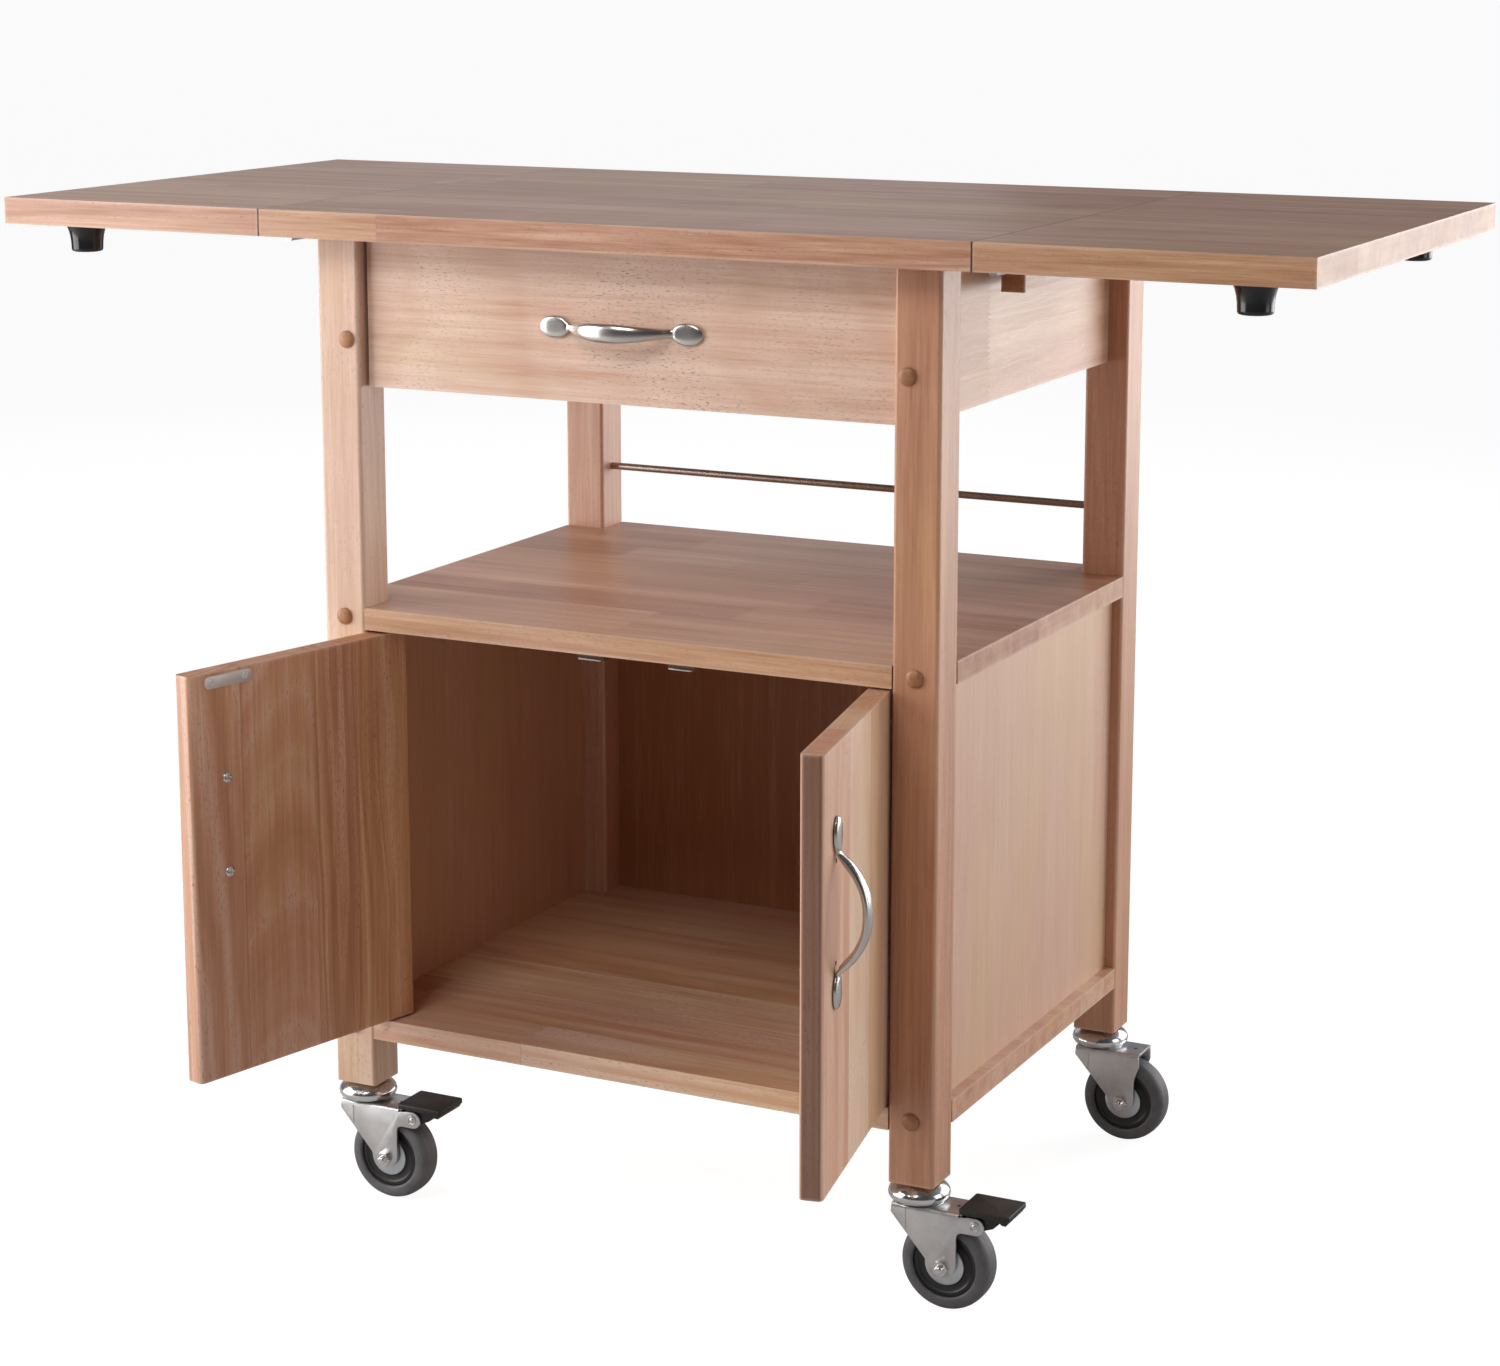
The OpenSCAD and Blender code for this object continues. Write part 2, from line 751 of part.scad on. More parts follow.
module door_left() hang_door(-1) door_board();
module door_left_pull() color(nickel) hang_door(-1) door_pull_place() bow_pull();
module door_left_pull_screws() color(zinc) hang_door(-1) door_pull_place() pull_screws(door_thickness);
module door_left_strike() hang_door(-1) door_strike();
module door_right() hang_door(1) door_board();
module door_right_pull() color(nickel) hang_door(1) door_pull_place() bow_pull();
module door_right_pull_screws() color(zinc) hang_door(1) door_pull_place() pull_screws(door_thickness);
module door_right_strike() hang_door(1) door_strike();

module magnetic_catches() {
    color(black)
        both_sides()
        translate([catch_x - catch_width / 2, catch_front_y, middle_shelf_bottom - catch_height])
        cube([catch_width, catch_length, catch_height]);
}

// ---------- casters ----------

// Puts a caster's pieces, drawn with the swivel axis at x = 0, y = 0, under a leg
module under_leg(side_x, side_y) {
    translate([side_x * leg_x, side_y * leg_y, 0]) children();
}

// A bearing housing is a bulged disc on the stem, with the kingpin under it
module caster_housing() {
    r = housing_d / 2;
    rotate_extrude()
        polygon([[0, crown_z - 3], [kingpin_r + 3, crown_z - 3], [kingpin_r + 3, crown_z - sliding_gap],
            [kingpin_r, crown_z - sliding_gap], [kingpin_r, housing_z], [r - 6, housing_z],
            [r - 1.2, housing_z + 3], [r, housing_z + 7], [r - 2, housing_z + 11],
            [r - 8, caster_height - 1], [r - 10, caster_height], [stem_r, caster_height],
            [stem_r, caster_height + stem_reach - 1], [0, caster_height + stem_reach - 1]]);
}

module caster_housings() {
    color(zinc)
        both_sides() front_and_back()
        translate([leg_x, leg_y, 0]) caster_housing();
}

// One cheek of the fork: it narrows from the crown to the axle, and on a braked caster
// it also has an ear for the pedal's rivet
module fork_cheek(brake) {
    rotate([90, 0, 0])
        linear_extrude(fork_sheet)
        difference() {
            union() {
                translate([caster_trail, axle_z + 4]) circle(12);
                polygon([[-17, crown_z + fork_sheet], [-17, crown_z - 5],
                    [caster_trail - 11.4, axle_z + 0.6], [caster_trail + 11.8, axle_z + 2],
                    [caster_trail + 12, axle_z + 24], [caster_trail + 16, crown_z - 8],
                    [caster_trail + 16, crown_z + fork_sheet]]);
                if (brake) {
                    translate([rivet_x, rivet_z]) circle(7.5);
                    polygon([[caster_trail, crown_z + fork_sheet], [caster_trail, rivet_z - 12],
                        [rivet_x - 1, rivet_z - 7.4], [rivet_x + 1, rivet_z + 7.4]]);
                }
            }
            translate([caster_trail, axle_z]) circle(axle_r);
            if (brake) translate([rivet_x, rivet_z]) circle(rivet_r);
        }
}

module caster_fork(brake) {
    crown_end = caster_trail + 16;
    color(zinc) {
        difference() {
            translate([-17, -fork_outer, crown_z])
                cube([crown_end + 17, 2 * fork_outer, fork_sheet]);
            translate([0, 0, crown_z - cut])
                cylinder(r = kingpin_r + running_clearance, h = fork_sheet + 2 * cut);
        }
        for (y = [-fork_inner, fork_outer])
            translate([0, y, 0]) fork_cheek(brake);
        if (brake) {
            y_cylinder(rivet_x, rivet_z, rivet_r, -fork_outer, fork_outer);
            for (y = [-fork_outer - 1.2, fork_outer])
                y_cylinder(rivet_x, rivet_z, rivet_r * 1.7, y, y + 1.2);
        }
    }
}

// A hexagon bolt through both cheeks, with its nut to the front
module caster_axle() {
    color(zinc) {
        y_cylinder(caster_trail, axle_z, axle_r, -fork_outer - 8, fork_outer + cut);
        translate([caster_trail, -fork_outer, axle_z])
            rotate([90, 0, 0])
            difference() {
                cylinder(r = axle_r * 1.75, h = 5.5, $fn = 6);
                translate([0, 0, -cut]) cylinder(r = axle_r, h = 5.5 + 2 * cut);
            }
        translate([caster_trail, fork_outer + 5, axle_z])
            rotate([90, 0, 0])
            cylinder(r = axle_r * 1.75, h = 5, $fn = 6);
    }
}

// The hub is a plastic centre with a steel disc proud of each face and a bore for the axle
module caster_hub() {
    color(black)
    difference() {
        union() {
            y_cylinder(caster_trail, axle_z, tyre_inner_r, 2.5 - wheel_width / 2,
                wheel_width / 2 - 2.5);
            y_cylinder(caster_trail, axle_z, disc_r, 0.8 - wheel_width / 2,
                wheel_width / 2 - 0.8);
            y_cylinder(caster_trail, axle_z, axle_r + 3, sliding_gap - fork_inner,
                fork_inner - sliding_gap);
        }
        y_cylinder(caster_trail, axle_z, axle_r + running_clearance, -fork_outer, fork_outer);
    }
}

// The tyre is a ring with rounded shoulders
module caster_tyre() {
    half = wheel_width / 2;
    shoulder = 5;
    color(grey_rubber)
        translate([caster_trail, 0, axle_z])
        rotate([90, 0, 0])
        rotate_extrude()
        union() {
            translate([tyre_inner_r, -half]) square([wheel_d / 2 - shoulder - tyre_inner_r, 2 * half]);
            translate([tyre_inner_r, shoulder - half])
                square([wheel_d / 2 - tyre_inner_r, 2 * (half - shoulder)]);
            for (s = [-1, 1])
                translate([wheel_d / 2 - shoulder, s * (half - shoulder)]) circle(shoulder);
        }
}

// The pedal is a flat plate over the fork, joined to a round hub that turns on the rivet
module caster_pedal() {
    hub_half = fork_inner - sliding_gap;
    plate_z = rivet_z + 8.6;
    plate_start = rivet_x - 13;
    color(black)
    difference() {
        union() {
            y_cylinder(rivet_x, rivet_z, 7, -hub_half, hub_half);
            translate([rivet_x - 3, -hub_half, rivet_z])
                cube([13, 2 * hub_half, plate_z - rivet_z + 1]);
            translate([0, 0, plate_z])
                linear_extrude(4.5)
                round_outline([plate_start, -pedal_width / 2],
                    [plate_start + pedal_length, pedal_width / 2], 3);
        }
        y_cylinder(rivet_x, rivet_z, rivet_r + running_clearance, -fork_outer, fork_outer);
    }
}

module caster_front_left_fork() under_leg(-1, -1) caster_fork(true);
module caster_front_left_axle() under_leg(-1, -1) caster_axle();
module caster_front_left_hub() under_leg(-1, -1) caster_hub();
module caster_front_left_tyre() under_leg(-1, -1) caster_tyre();
module caster_front_left_pedal() under_leg(-1, -1) caster_pedal();
module caster_front_right_fork() under_leg(1, -1) caster_fork(true);
module caster_front_right_axle() under_leg(1, -1) caster_axle();
module caster_front_right_hub() under_leg(1, -1) caster_hub();
module caster_front_right_tyre() under_leg(1, -1) caster_tyre();
module caster_front_right_pedal() under_leg(1, -1) caster_pedal();
module caster_rear_left_fork() under_leg(-1, 1) caster_fork(false);
module caster_rear_left_axle() under_leg(-1, 1) caster_axle();
module caster_rear_left_hub() under_leg(-1, 1) caster_hub();
module caster_rear_left_tyre() under_leg(-1, 1) caster_tyre();
module caster_rear_right_fork() under_leg(1, 1) caster_fork(false);
module caster_rear_right_axle() under_leg(1, 1) caster_axle();
module caster_rear_right_hub() under_leg(1, 1) caster_hub();
module caster_rear_right_tyre() under_leg(1, 1) caster_tyre();

tabletop();
leg_front_left();
leg_front_right();
leg_rear_left();
leg_rear_right();
side_aprons();
rear_apron();
middle_shelf();
bottom_shelf();
side_panels();
back_panel();
rear_rod();
drawer_runners();
wood_plugs();
frame_bolts();
magnetic_catches();
door_pivot_pins();
top_hinge_flaps();
support_pivot_bolts();
caster_housings();
drawer_front();
drawer_sides();
drawer_back();
drawer_bottom();
drawer_pull();
drawer_pull_screws();
leaf_left();
leaf_left_hinge_flaps();
leaf_left_bumpers();
leaf_right();
leaf_right_hinge_flaps();
leaf_right_bumpers();
support_left();
support_right();
door_left();
door_left_pull();
door_left_pull_screws();
door_left_strike();
door_right();
door_right_pull();
door_right_pull_screws();
door_right_strike();
caster_front_left_fork();
caster_front_left_axle();
caster_front_left_hub();
caster_front_left_tyre();
caster_front_left_pedal();
caster_front_right_fork();
caster_front_right_axle();
caster_front_right_hub();
caster_front_right_tyre();
caster_front_right_pedal();
caster_rear_left_fork();
caster_rear_left_axle();
caster_rear_left_hub();
caster_rear_left_tyre();
caster_rear_right_fork();
caster_rear_right_axle();
caster_rear_right_hub();
caster_rear_right_tyre();
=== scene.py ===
import json
import math
import bpy
import bmesh
import numpy as np
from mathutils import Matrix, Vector


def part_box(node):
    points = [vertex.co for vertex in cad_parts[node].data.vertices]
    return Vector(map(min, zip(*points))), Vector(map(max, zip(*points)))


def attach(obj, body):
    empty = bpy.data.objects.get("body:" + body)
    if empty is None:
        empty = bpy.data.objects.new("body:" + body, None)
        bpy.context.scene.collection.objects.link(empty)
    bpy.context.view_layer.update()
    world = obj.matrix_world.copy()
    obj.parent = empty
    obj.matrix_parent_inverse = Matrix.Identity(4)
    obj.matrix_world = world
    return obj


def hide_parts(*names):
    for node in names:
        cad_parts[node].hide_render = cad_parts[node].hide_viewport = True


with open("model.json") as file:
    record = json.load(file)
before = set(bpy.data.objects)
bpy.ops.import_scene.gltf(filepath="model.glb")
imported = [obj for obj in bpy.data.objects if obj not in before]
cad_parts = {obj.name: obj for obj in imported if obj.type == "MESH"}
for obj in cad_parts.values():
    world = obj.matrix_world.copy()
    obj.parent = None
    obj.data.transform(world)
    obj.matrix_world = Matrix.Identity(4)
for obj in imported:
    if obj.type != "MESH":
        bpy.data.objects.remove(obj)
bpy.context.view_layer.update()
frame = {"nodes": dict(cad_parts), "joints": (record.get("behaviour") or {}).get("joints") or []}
nodes = frame["nodes"]
joints = {joint["name"]: joint for joint in frame["joints"]}
mm = 0.001
print("frame loaded:", len(nodes), "nodes")

# camera, in metres and degrees
cameraView = {"place": (1.20565, -2.40523, 1.06062), "turn": 26.49, "tilt": 10.59, "lens": 77.9, "shift": -0.10}

viewer = bpy.data.objects.new("viewer", bpy.data.cameras.new("viewer"))
bpy.context.scene.collection.objects.link(viewer)
viewer.location = cameraView["place"]
viewer.rotation_euler = (math.radians(90 - cameraView["tilt"]), 0, math.radians(cameraView["turn"]))
viewer.data.sensor_fit = "HORIZONTAL"
viewer.data.sensor_width = 36
viewer.data.lens = cameraView["lens"]
viewer.data.shift_y = cameraView["shift"]
viewer.data.clip_end = 200
bpy.context.scene.camera = viewer
bpy.context.scene.view_settings.view_transform = "Standard"
print("camera placed")


# small helpers for nodes

def newMaterial(name):
    material = bpy.data.materials.new(name)
    material.use_nodes = True
    tree = material.node_tree
    tree.nodes.clear()
    out = tree.nodes.new("ShaderNodeOutputMaterial")
    shader = tree.nodes.new("ShaderNodeBsdfPrincipled")
    tree.links.new(shader.outputs[0], out.inputs[0])
    return material, tree, shader


def feed(tree, value, socket):
    if isinstance(value, bpy.types.NodeSocket):
        tree.links.new(value, socket)
    else:
        socket.default_value = value


def calc(tree, kind, *values):
    step = tree.nodes.new("ShaderNodeMath")
    step.operation = kind
    for value, socket in zip(values, step.inputs):
        feed(tree, value, socket)
    return step.outputs[0]


def sway(tree, base, part, share):
    # base moved up or down by half of share as part goes from 0 to 1
    return calc(tree, "MULTIPLY_ADD", calc(tree, "SUBTRACT", part, 0.5), share, base)


def spread(tree, value, low, high, toLow=0.0, toHigh=1.0, kind="SMOOTHSTEP"):
    step = tree.nodes.new("ShaderNodeMapRange")
    step.interpolation_type = kind
    for given, socket in zip((value, low, high, toLow, toHigh), step.inputs):
        feed(tree, given, socket)
    return step.outputs[0]


def triple(tree, x, y, z):
    step = tree.nodes.new("ShaderNodeCombineXYZ")
    for value, socket in zip((x, y, z), step.inputs):
        feed(tree, value, socket)
    return step.outputs[0]


def noise(tree, where, scale=1.0, detail=3.0, rough=0.55, line=False):
    step = tree.nodes.new("ShaderNodeTexNoise")
    if line:
        step.noise_dimensions = "1D"
        feed(tree, where, step.inputs["W"])
    else:
        feed(tree, where, step.inputs["Vector"])
    step.inputs["Scale"].default_value = scale
    step.inputs["Detail"].default_value = detail
    step.inputs["Roughness"].default_value = rough
    return step.outputs[0]


def blendColour(tree, amount, first, second, kind="MIX"):
    step = tree.nodes.new("ShaderNodeMix")
    step.data_type = "RGBA"
    step.blend_type = kind
    feed(tree, amount, step.inputs[0])
    for value, socket in ((first, step.inputs[6]), (second, step.inputs[7])):
        feed(tree, (*value, 1) if isinstance(value, tuple) else value, socket)
    return step.outputs[2]


def tinted(tree, colour, tint):
    return blendColour(tree, 1.0, colour, tint, "MULTIPLY")


def objectPlace(tree, centre=(0, 0, 0), turn=0.0):
    # the place on the piece, its three parts, and the three parts of the way the face looks
    coordinates = tree.nodes.new("ShaderNodeTexCoord")
    mapping = tree.nodes.new("ShaderNodeMapping")
    mapping.vector_type = "TEXTURE"
    mapping.inputs["Location"].default_value = centre
    mapping.inputs["Rotation"].default_value = (0, 0, math.radians(turn))
    tree.links.new(coordinates.outputs["Object"], mapping.inputs["Vector"])
    split = tree.nodes.new("ShaderNodeSeparateXYZ")
    tree.links.new(mapping.outputs[0], split.inputs[0])
    facing = tree.nodes.new("ShaderNodeSeparateXYZ")
    tree.links.new(coordinates.outputs["Normal"], facing.inputs[0])
    return mapping.outputs[0], split.outputs, facing.outputs


def bump(tree, shader, height, strength, depth):
    step = tree.nodes.new("ShaderNodeBump")
    step.inputs["Strength"].default_value = strength
    step.inputs["Distance"].default_value = depth
    tree.links.new(height, step.inputs["Height"])
    tree.links.new(step.outputs[0], shader.inputs["Normal"])


# wood

woodFinish = {
    "axes": "XYZ",  # along the grain, across the staves, through the board
    "staveWidth": 64 * mm, "staveLength": 0.62, "phase": 0.35, "seed": 1.0,
    "centre": (0, 0, 0), "turn": 0.0,
    "dark": (0.37, 0.170, 0.085), "middle": (0.585, 0.365, 0.250), "light": (0.775, 0.615, 0.495),
    "amber": (1.03, 0.97, 0.84), "rose": (1.03, 0.94, 0.94),
    "tone": 0.55, "boards": 0.30, "streaks": 0.30, "rings": 0.16, "fibres": 0.24, "pores": 0.55,
    "seams": 0.35, "edges": 0.30, "mirrored": False, "rough": 0.40, "coat": 0.30, "paintedSideShade": None, "gapAt": None,
    # how fine each mark is along, across and through the board, per metre
    "streakScale": (2.6, 62, 62), "fibreScale": (14, 420, 420), "poreScale": (230, 1250, 1250),
    "cloudScale": (4.0, 14, 14), "wanderScale": (2.4, 7.0, 7.0), "ringScale": 170,
    "fingerPitch": 2.2 * mm, "fingerSlope": 3.4, "glueLine": 0.8 * mm,
    # width, strength and colour of the painted shade line along a leaf's gap
    "gapShadeWidth": (0.5 * mm, 1.5 * mm), "gapShadeStrength": 0.6, "gapShadeColour": (0.05, 0.03, 0.02),
    "rubbedWidth": (0.4 * mm, 2.6 * mm), "sawnTint": (0.84, 0.74, 0.66),
    "coatRough": 0.38, "relief": 0.35, "reliefDepth": 0.25 * mm,
}


def nodePoints(name):
    mesh = nodes[name].data
    points = np.empty(len(mesh.vertices) * 3, np.float32)
    mesh.vertices.foreach_get("co", points)
    return points.reshape(-1, 3)


def meshCorners(name, centre, turn, mirrored):
    # lowest and highest corner of a board, measured along its own directions
    points = nodePoints(name) - np.array(centre)
    c, s = math.cos(math.radians(turn)), math.sin(math.radians(turn))
    points = points @ np.array([[c, -s, 0], [s, c, 0], [0, 0, 1]])
    if mirrored:
        points[:, 0] = abs(points[:, 0])
    return points.min(0), points.max(0)


def grained(tree, place, scales, detail, rough=0.55):
    # noise drawn out along the grain
    where = triple(tree, *(calc(tree, "MULTIPLY", part, scale) for part, scale in zip(place, scales)))
    return noise(tree, where, 1, detail, rough)


def stretched(tree, place, scales, detail, rough):
    # the same, its middle part widened to fill 0 to 1
    return spread(tree, grained(tree, place, scales, detail, rough), 0.30, 0.70, kind="LINEAR")


def turnedNormal(tree, facing, turn):
    # how far a face looks along the board's own first direction
    c, s = math.cos(math.radians(turn)), math.sin(math.radians(turn))
    return calc(tree, "MULTIPLY_ADD", facing[0], c, calc(tree, "MULTIPLY", facing[1], s))


def woodMaterial(name, plan, node):
    spec = {**woodFinish, **plan}
    material, tree, shader = newMaterial(name)
    _, axes, facing = objectPlace(tree, spec["centre"], spec["turn"])
    along, across, through = (axes["XYZ".index(a)] for a in spec["axes"])

    # lane: which stave; run: which length of that stave, its ends cut as interlocking fingers
    lane = calc(tree, "ADD", calc(tree, "DIVIDE", across, spec["staveWidth"]), spec["phase"])
    uneven = calc(tree, "SINE", calc(tree, "MULTIPLY_ADD", lane, 2.3, spec["seed"]))
    lane = calc(tree, "ADD", lane, calc(tree, "MULTIPLY", uneven, 0.16))
    laneIndex = calc(tree, "FLOOR", lane)
    lanePart = calc(tree, "FRACT", lane)
    pick = tree.nodes.new("ShaderNodeTexWhiteNoise")
    tree.links.new(triple(tree, laneIndex, spec["seed"], 3.7), pick.inputs["Vector"])
    fingers = calc(tree, "PINGPONG", across, spec["fingerPitch"])
    run = calc(tree, "ADD", calc(tree, "MULTIPLY_ADD", fingers, spec["fingerSlope"], along),
               calc(tree, "MULTIPLY", pick.outputs["Value"], 5.0))
    run = calc(tree, "DIVIDE", run, spec["staveLength"])
    runIndex = calc(tree, "FLOOR", run)
    board = tree.nodes.new("ShaderNodeTexWhiteNoise")
    tree.links.new(triple(tree, laneIndex, runIndex, spec["seed"]), board.inputs["Vector"])
    chance = tree.nodes.new("ShaderNodeSeparateColor")
    tree.links.new(board.outputs["Color"], chance.inputs[0])
    luck = board.outputs["Value"]
    first, second, third = chance.outputs[:3]

    # each length of stave starts its grain somewhere else
    a = calc(tree, "MULTIPLY_ADD", first, 3.1, along)
    b = calc(tree, "MULTIPLY_ADD", second, 1.7, across)
    c = calc(tree, "MULTIPLY_ADD", third, 0.9, through)
    grain = (a, b, c)

    # growth rings round a heart line that lies outside the board and leans a little
    wander = grained(tree, grain, spec["wanderScale"], 2)
    sideways = calc(tree, "MULTIPLY_ADD", calc(tree, "SUBTRACT", lanePart, second), min(spec["staveWidth"], 0.09),
                    calc(tree, "MULTIPLY", calc(tree, "SUBTRACT", wander, 0.5), 0.05))
    deep = calc(tree, "ADD", calc(tree, "MULTIPLY_ADD", third, 0.05, 0.018), through)
    deep = calc(tree, "MULTIPLY_ADD", calc(tree, "MULTIPLY", calc(tree, "SUBTRACT", first, 0.5), 0.11), a, deep)
    squares = calc(tree, "ADD", calc(tree, "MULTIPLY", sideways, sideways), calc(tree, "MULTIPLY", deep, deep))
    radius = calc(tree, "SQRT", squares)
    rings = noise(tree, calc(tree, "ADD", radius, luck), spec["ringScale"], 3, 0.6, line=True)
    rings = spread(tree, rings, 0.32, 0.68, kind="LINEAR")

    streaks = stretched(tree, grain, spec["streakScale"], 4, 0.62)
    fibres = stretched(tree, grain, spec["fibreScale"], 4, 0.68)
    specks = grained(tree, grain, spec["poreScale"], 1, 0.5)
    clouds = grained(tree, grain, spec["cloudScale"], 2)
    openPores = spread(tree, specks, 0.60, 0.70)
    crowded = calc(tree, "MULTIPLY", spread(tree, rings, 0.3, 0.9, 0.15, 1.0),
                   spread(tree, clouds, 0.36, 0.66, 0.45, 1.0))
    pores = calc(tree, "MULTIPLY", openPores, crowded)

    # the board's own tone, then its marks, on a ramp of three colours
    tone = sway(tree, spec["tone"], luck, spec["boards"])
    for part, share in ((streaks, "streaks"), (rings, "rings"), (fibres, "fibres")):
        tone = sway(tree, tone, part, spec[share])
    ramp = tree.nodes.new("ShaderNodeValToRGB")
    ramp.color_ramp.elements[0].position = 0.08
    ramp.color_ramp.elements[0].color = (*spec["dark"], 1)
    ramp.color_ramp.elements[1].position = 0.92
    ramp.color_ramp.elements[1].color = (*spec["light"], 1)
    ramp.color_ramp.elements.new(0.5).color = (*spec["middle"], 1)
    tree.links.new(tone, ramp.inputs[0])
    warmth = calc(tree, "ADD", clouds, calc(tree, "MULTIPLY_ADD", second, 0.4, -0.2))
    tint = blendColour(tree, spread(tree, warmth, 0.35, 0.65), spec["amber"], spec["rose"])
    colour = tinted(tree, ramp.outputs[0], tint)
    colour = blendColour(tree, calc(tree, "MULTIPLY", pores, spec["pores"]), colour,
                         tuple(0.42 * x for x in spec["dark"]))

    # glue lines between staves
    lineGap = calc(tree, "MULTIPLY", calc(tree, "PINGPONG", lane, 0.5), spec["staveWidth"])
    endGap = calc(tree, "MULTIPLY", calc(tree, "PINGPONG", run, 0.5), spec["staveLength"])
    joins = calc(tree, "MAXIMUM", spread(tree, lineGap, 0.0, spec["glueLine"], 1, 0),
                 spread(tree, endGap, 0.0, spec["glueLine"], 0.8, 0))
    colour = blendColour(tree, calc(tree, "MULTIPLY", joins, spec["seams"]), colour,
                         tuple(0.55 * x for x in spec["dark"]))

    # sawn ends are darker and warmer than the long faces
    endFace = spread(tree, calc(tree, "ABSOLUTE", facing["XYZ".index(spec["axes"][0])]), 0.55, 0.95)
    colour = blendColour(tree, endFace, colour, tinted(tree, colour, spec["sawnTint"]))

    # painted shade: a board's narrow side faces, those looking along its own first direction, are tinted darker to
    # stand in for the shade they lie in
    if spec["paintedSideShade"]:
        shadedSideFace = spread(tree, calc(tree, "ABSOLUTE", turnedNormal(tree, facing, spec["turn"])), 0.6, 0.95)
        colour = blendColour(tree, shadedSideFace, colour, tinted(tree, colour, spec["paintedSideShade"]))

    # painted shade: a dark line where a leaf meets the middle panel, standing in for the shadow in the gap between
    # them
    if spec["gapAt"]:
        offLine = calc(tree, "ABSOLUTE", calc(tree, "SUBTRACT", calc(tree, "ABSOLUTE", axes[0]), spec["gapAt"]))
        gapShade = spread(tree, offLine, *spec["gapShadeWidth"], 1, 0)
    rubbedShare = calc(tree, "SUBTRACT", 1.0, gapShade) if spec["gapAt"] else 1.0

    # rubbed edges: the second smallest distance to the sides of the board's box
    low, high = meshCorners(node, spec["centre"], spec["turn"], spec["mirrored"])
    gaps = []
    for i in range(3):
        value = calc(tree, "ABSOLUTE", axes[i]) if spec["mirrored"] and i == 0 else axes[i]
        value = calc(tree, "ABSOLUTE", calc(tree, "SUBTRACT", value, float(low[i] + high[i]) / 2))
        gaps.append(calc(tree, "SUBTRACT", float(high[i] - low[i]) / 2, value))
    near = calc(tree, "MAXIMUM", calc(tree, "MINIMUM", gaps[0], gaps[1]),
                calc(tree, "MINIMUM", calc(tree, "MAXIMUM", gaps[0], gaps[1]), gaps[2]))
    rubbed = calc(tree, "MULTIPLY", spread(tree, near, *spec["rubbedWidth"], 1, 0),
                  spread(tree, clouds, 0.3, 0.6, 0.45, 1.0))
    rubbed = calc(tree, "MULTIPLY", rubbed, rubbedShare)
    colour = blendColour(tree, calc(tree, "MULTIPLY", rubbed, spec["edges"]), colour, spec["light"])
    # the painted gap shade goes over everything else
    if spec["gapAt"]:
        colour = blendColour(tree, calc(tree, "MULTIPLY", gapShade, spec["gapShadeStrength"]), colour, spec["gapShadeColour"])
    tree.links.new(colour, shader.inputs["Base Color"])

    # roughness follows the fibres, and rubbed edges are smoother
    sheen = sway(tree, spec["rough"], fibres, 0.16)
    sheen = sway(tree, sheen, clouds, 0.14)
    sheen = calc(tree, "MULTIPLY_ADD", endFace, 0.10, sheen)
    tree.links.new(calc(tree, "MULTIPLY_ADD", rubbed, -0.07, sheen), shader.inputs["Roughness"])
    shader.inputs["Coat Weight"].default_value = spec["coat"]
    shader.inputs["Coat Roughness"].default_value = spec["coatRough"]
    height = calc(tree, "SUBTRACT", calc(tree, "MULTIPLY", fibres, 0.6),
                  calc(tree, "MULTIPLY_ADD", joins, 0.9, calc(tree, "MULTIPLY", pores, 0.8)))
    bump(tree, shader, height, spec["relief"], spec["reliefDepth"])
    return material


doorTurn = {side: joints[side + "_door_hinge"]["range_deg"][1] for side in ("left", "right")}
doorPivot = {side: tuple(joints[side + "_door_hinge"]["pos_m"]) for side in ("left", "right")}

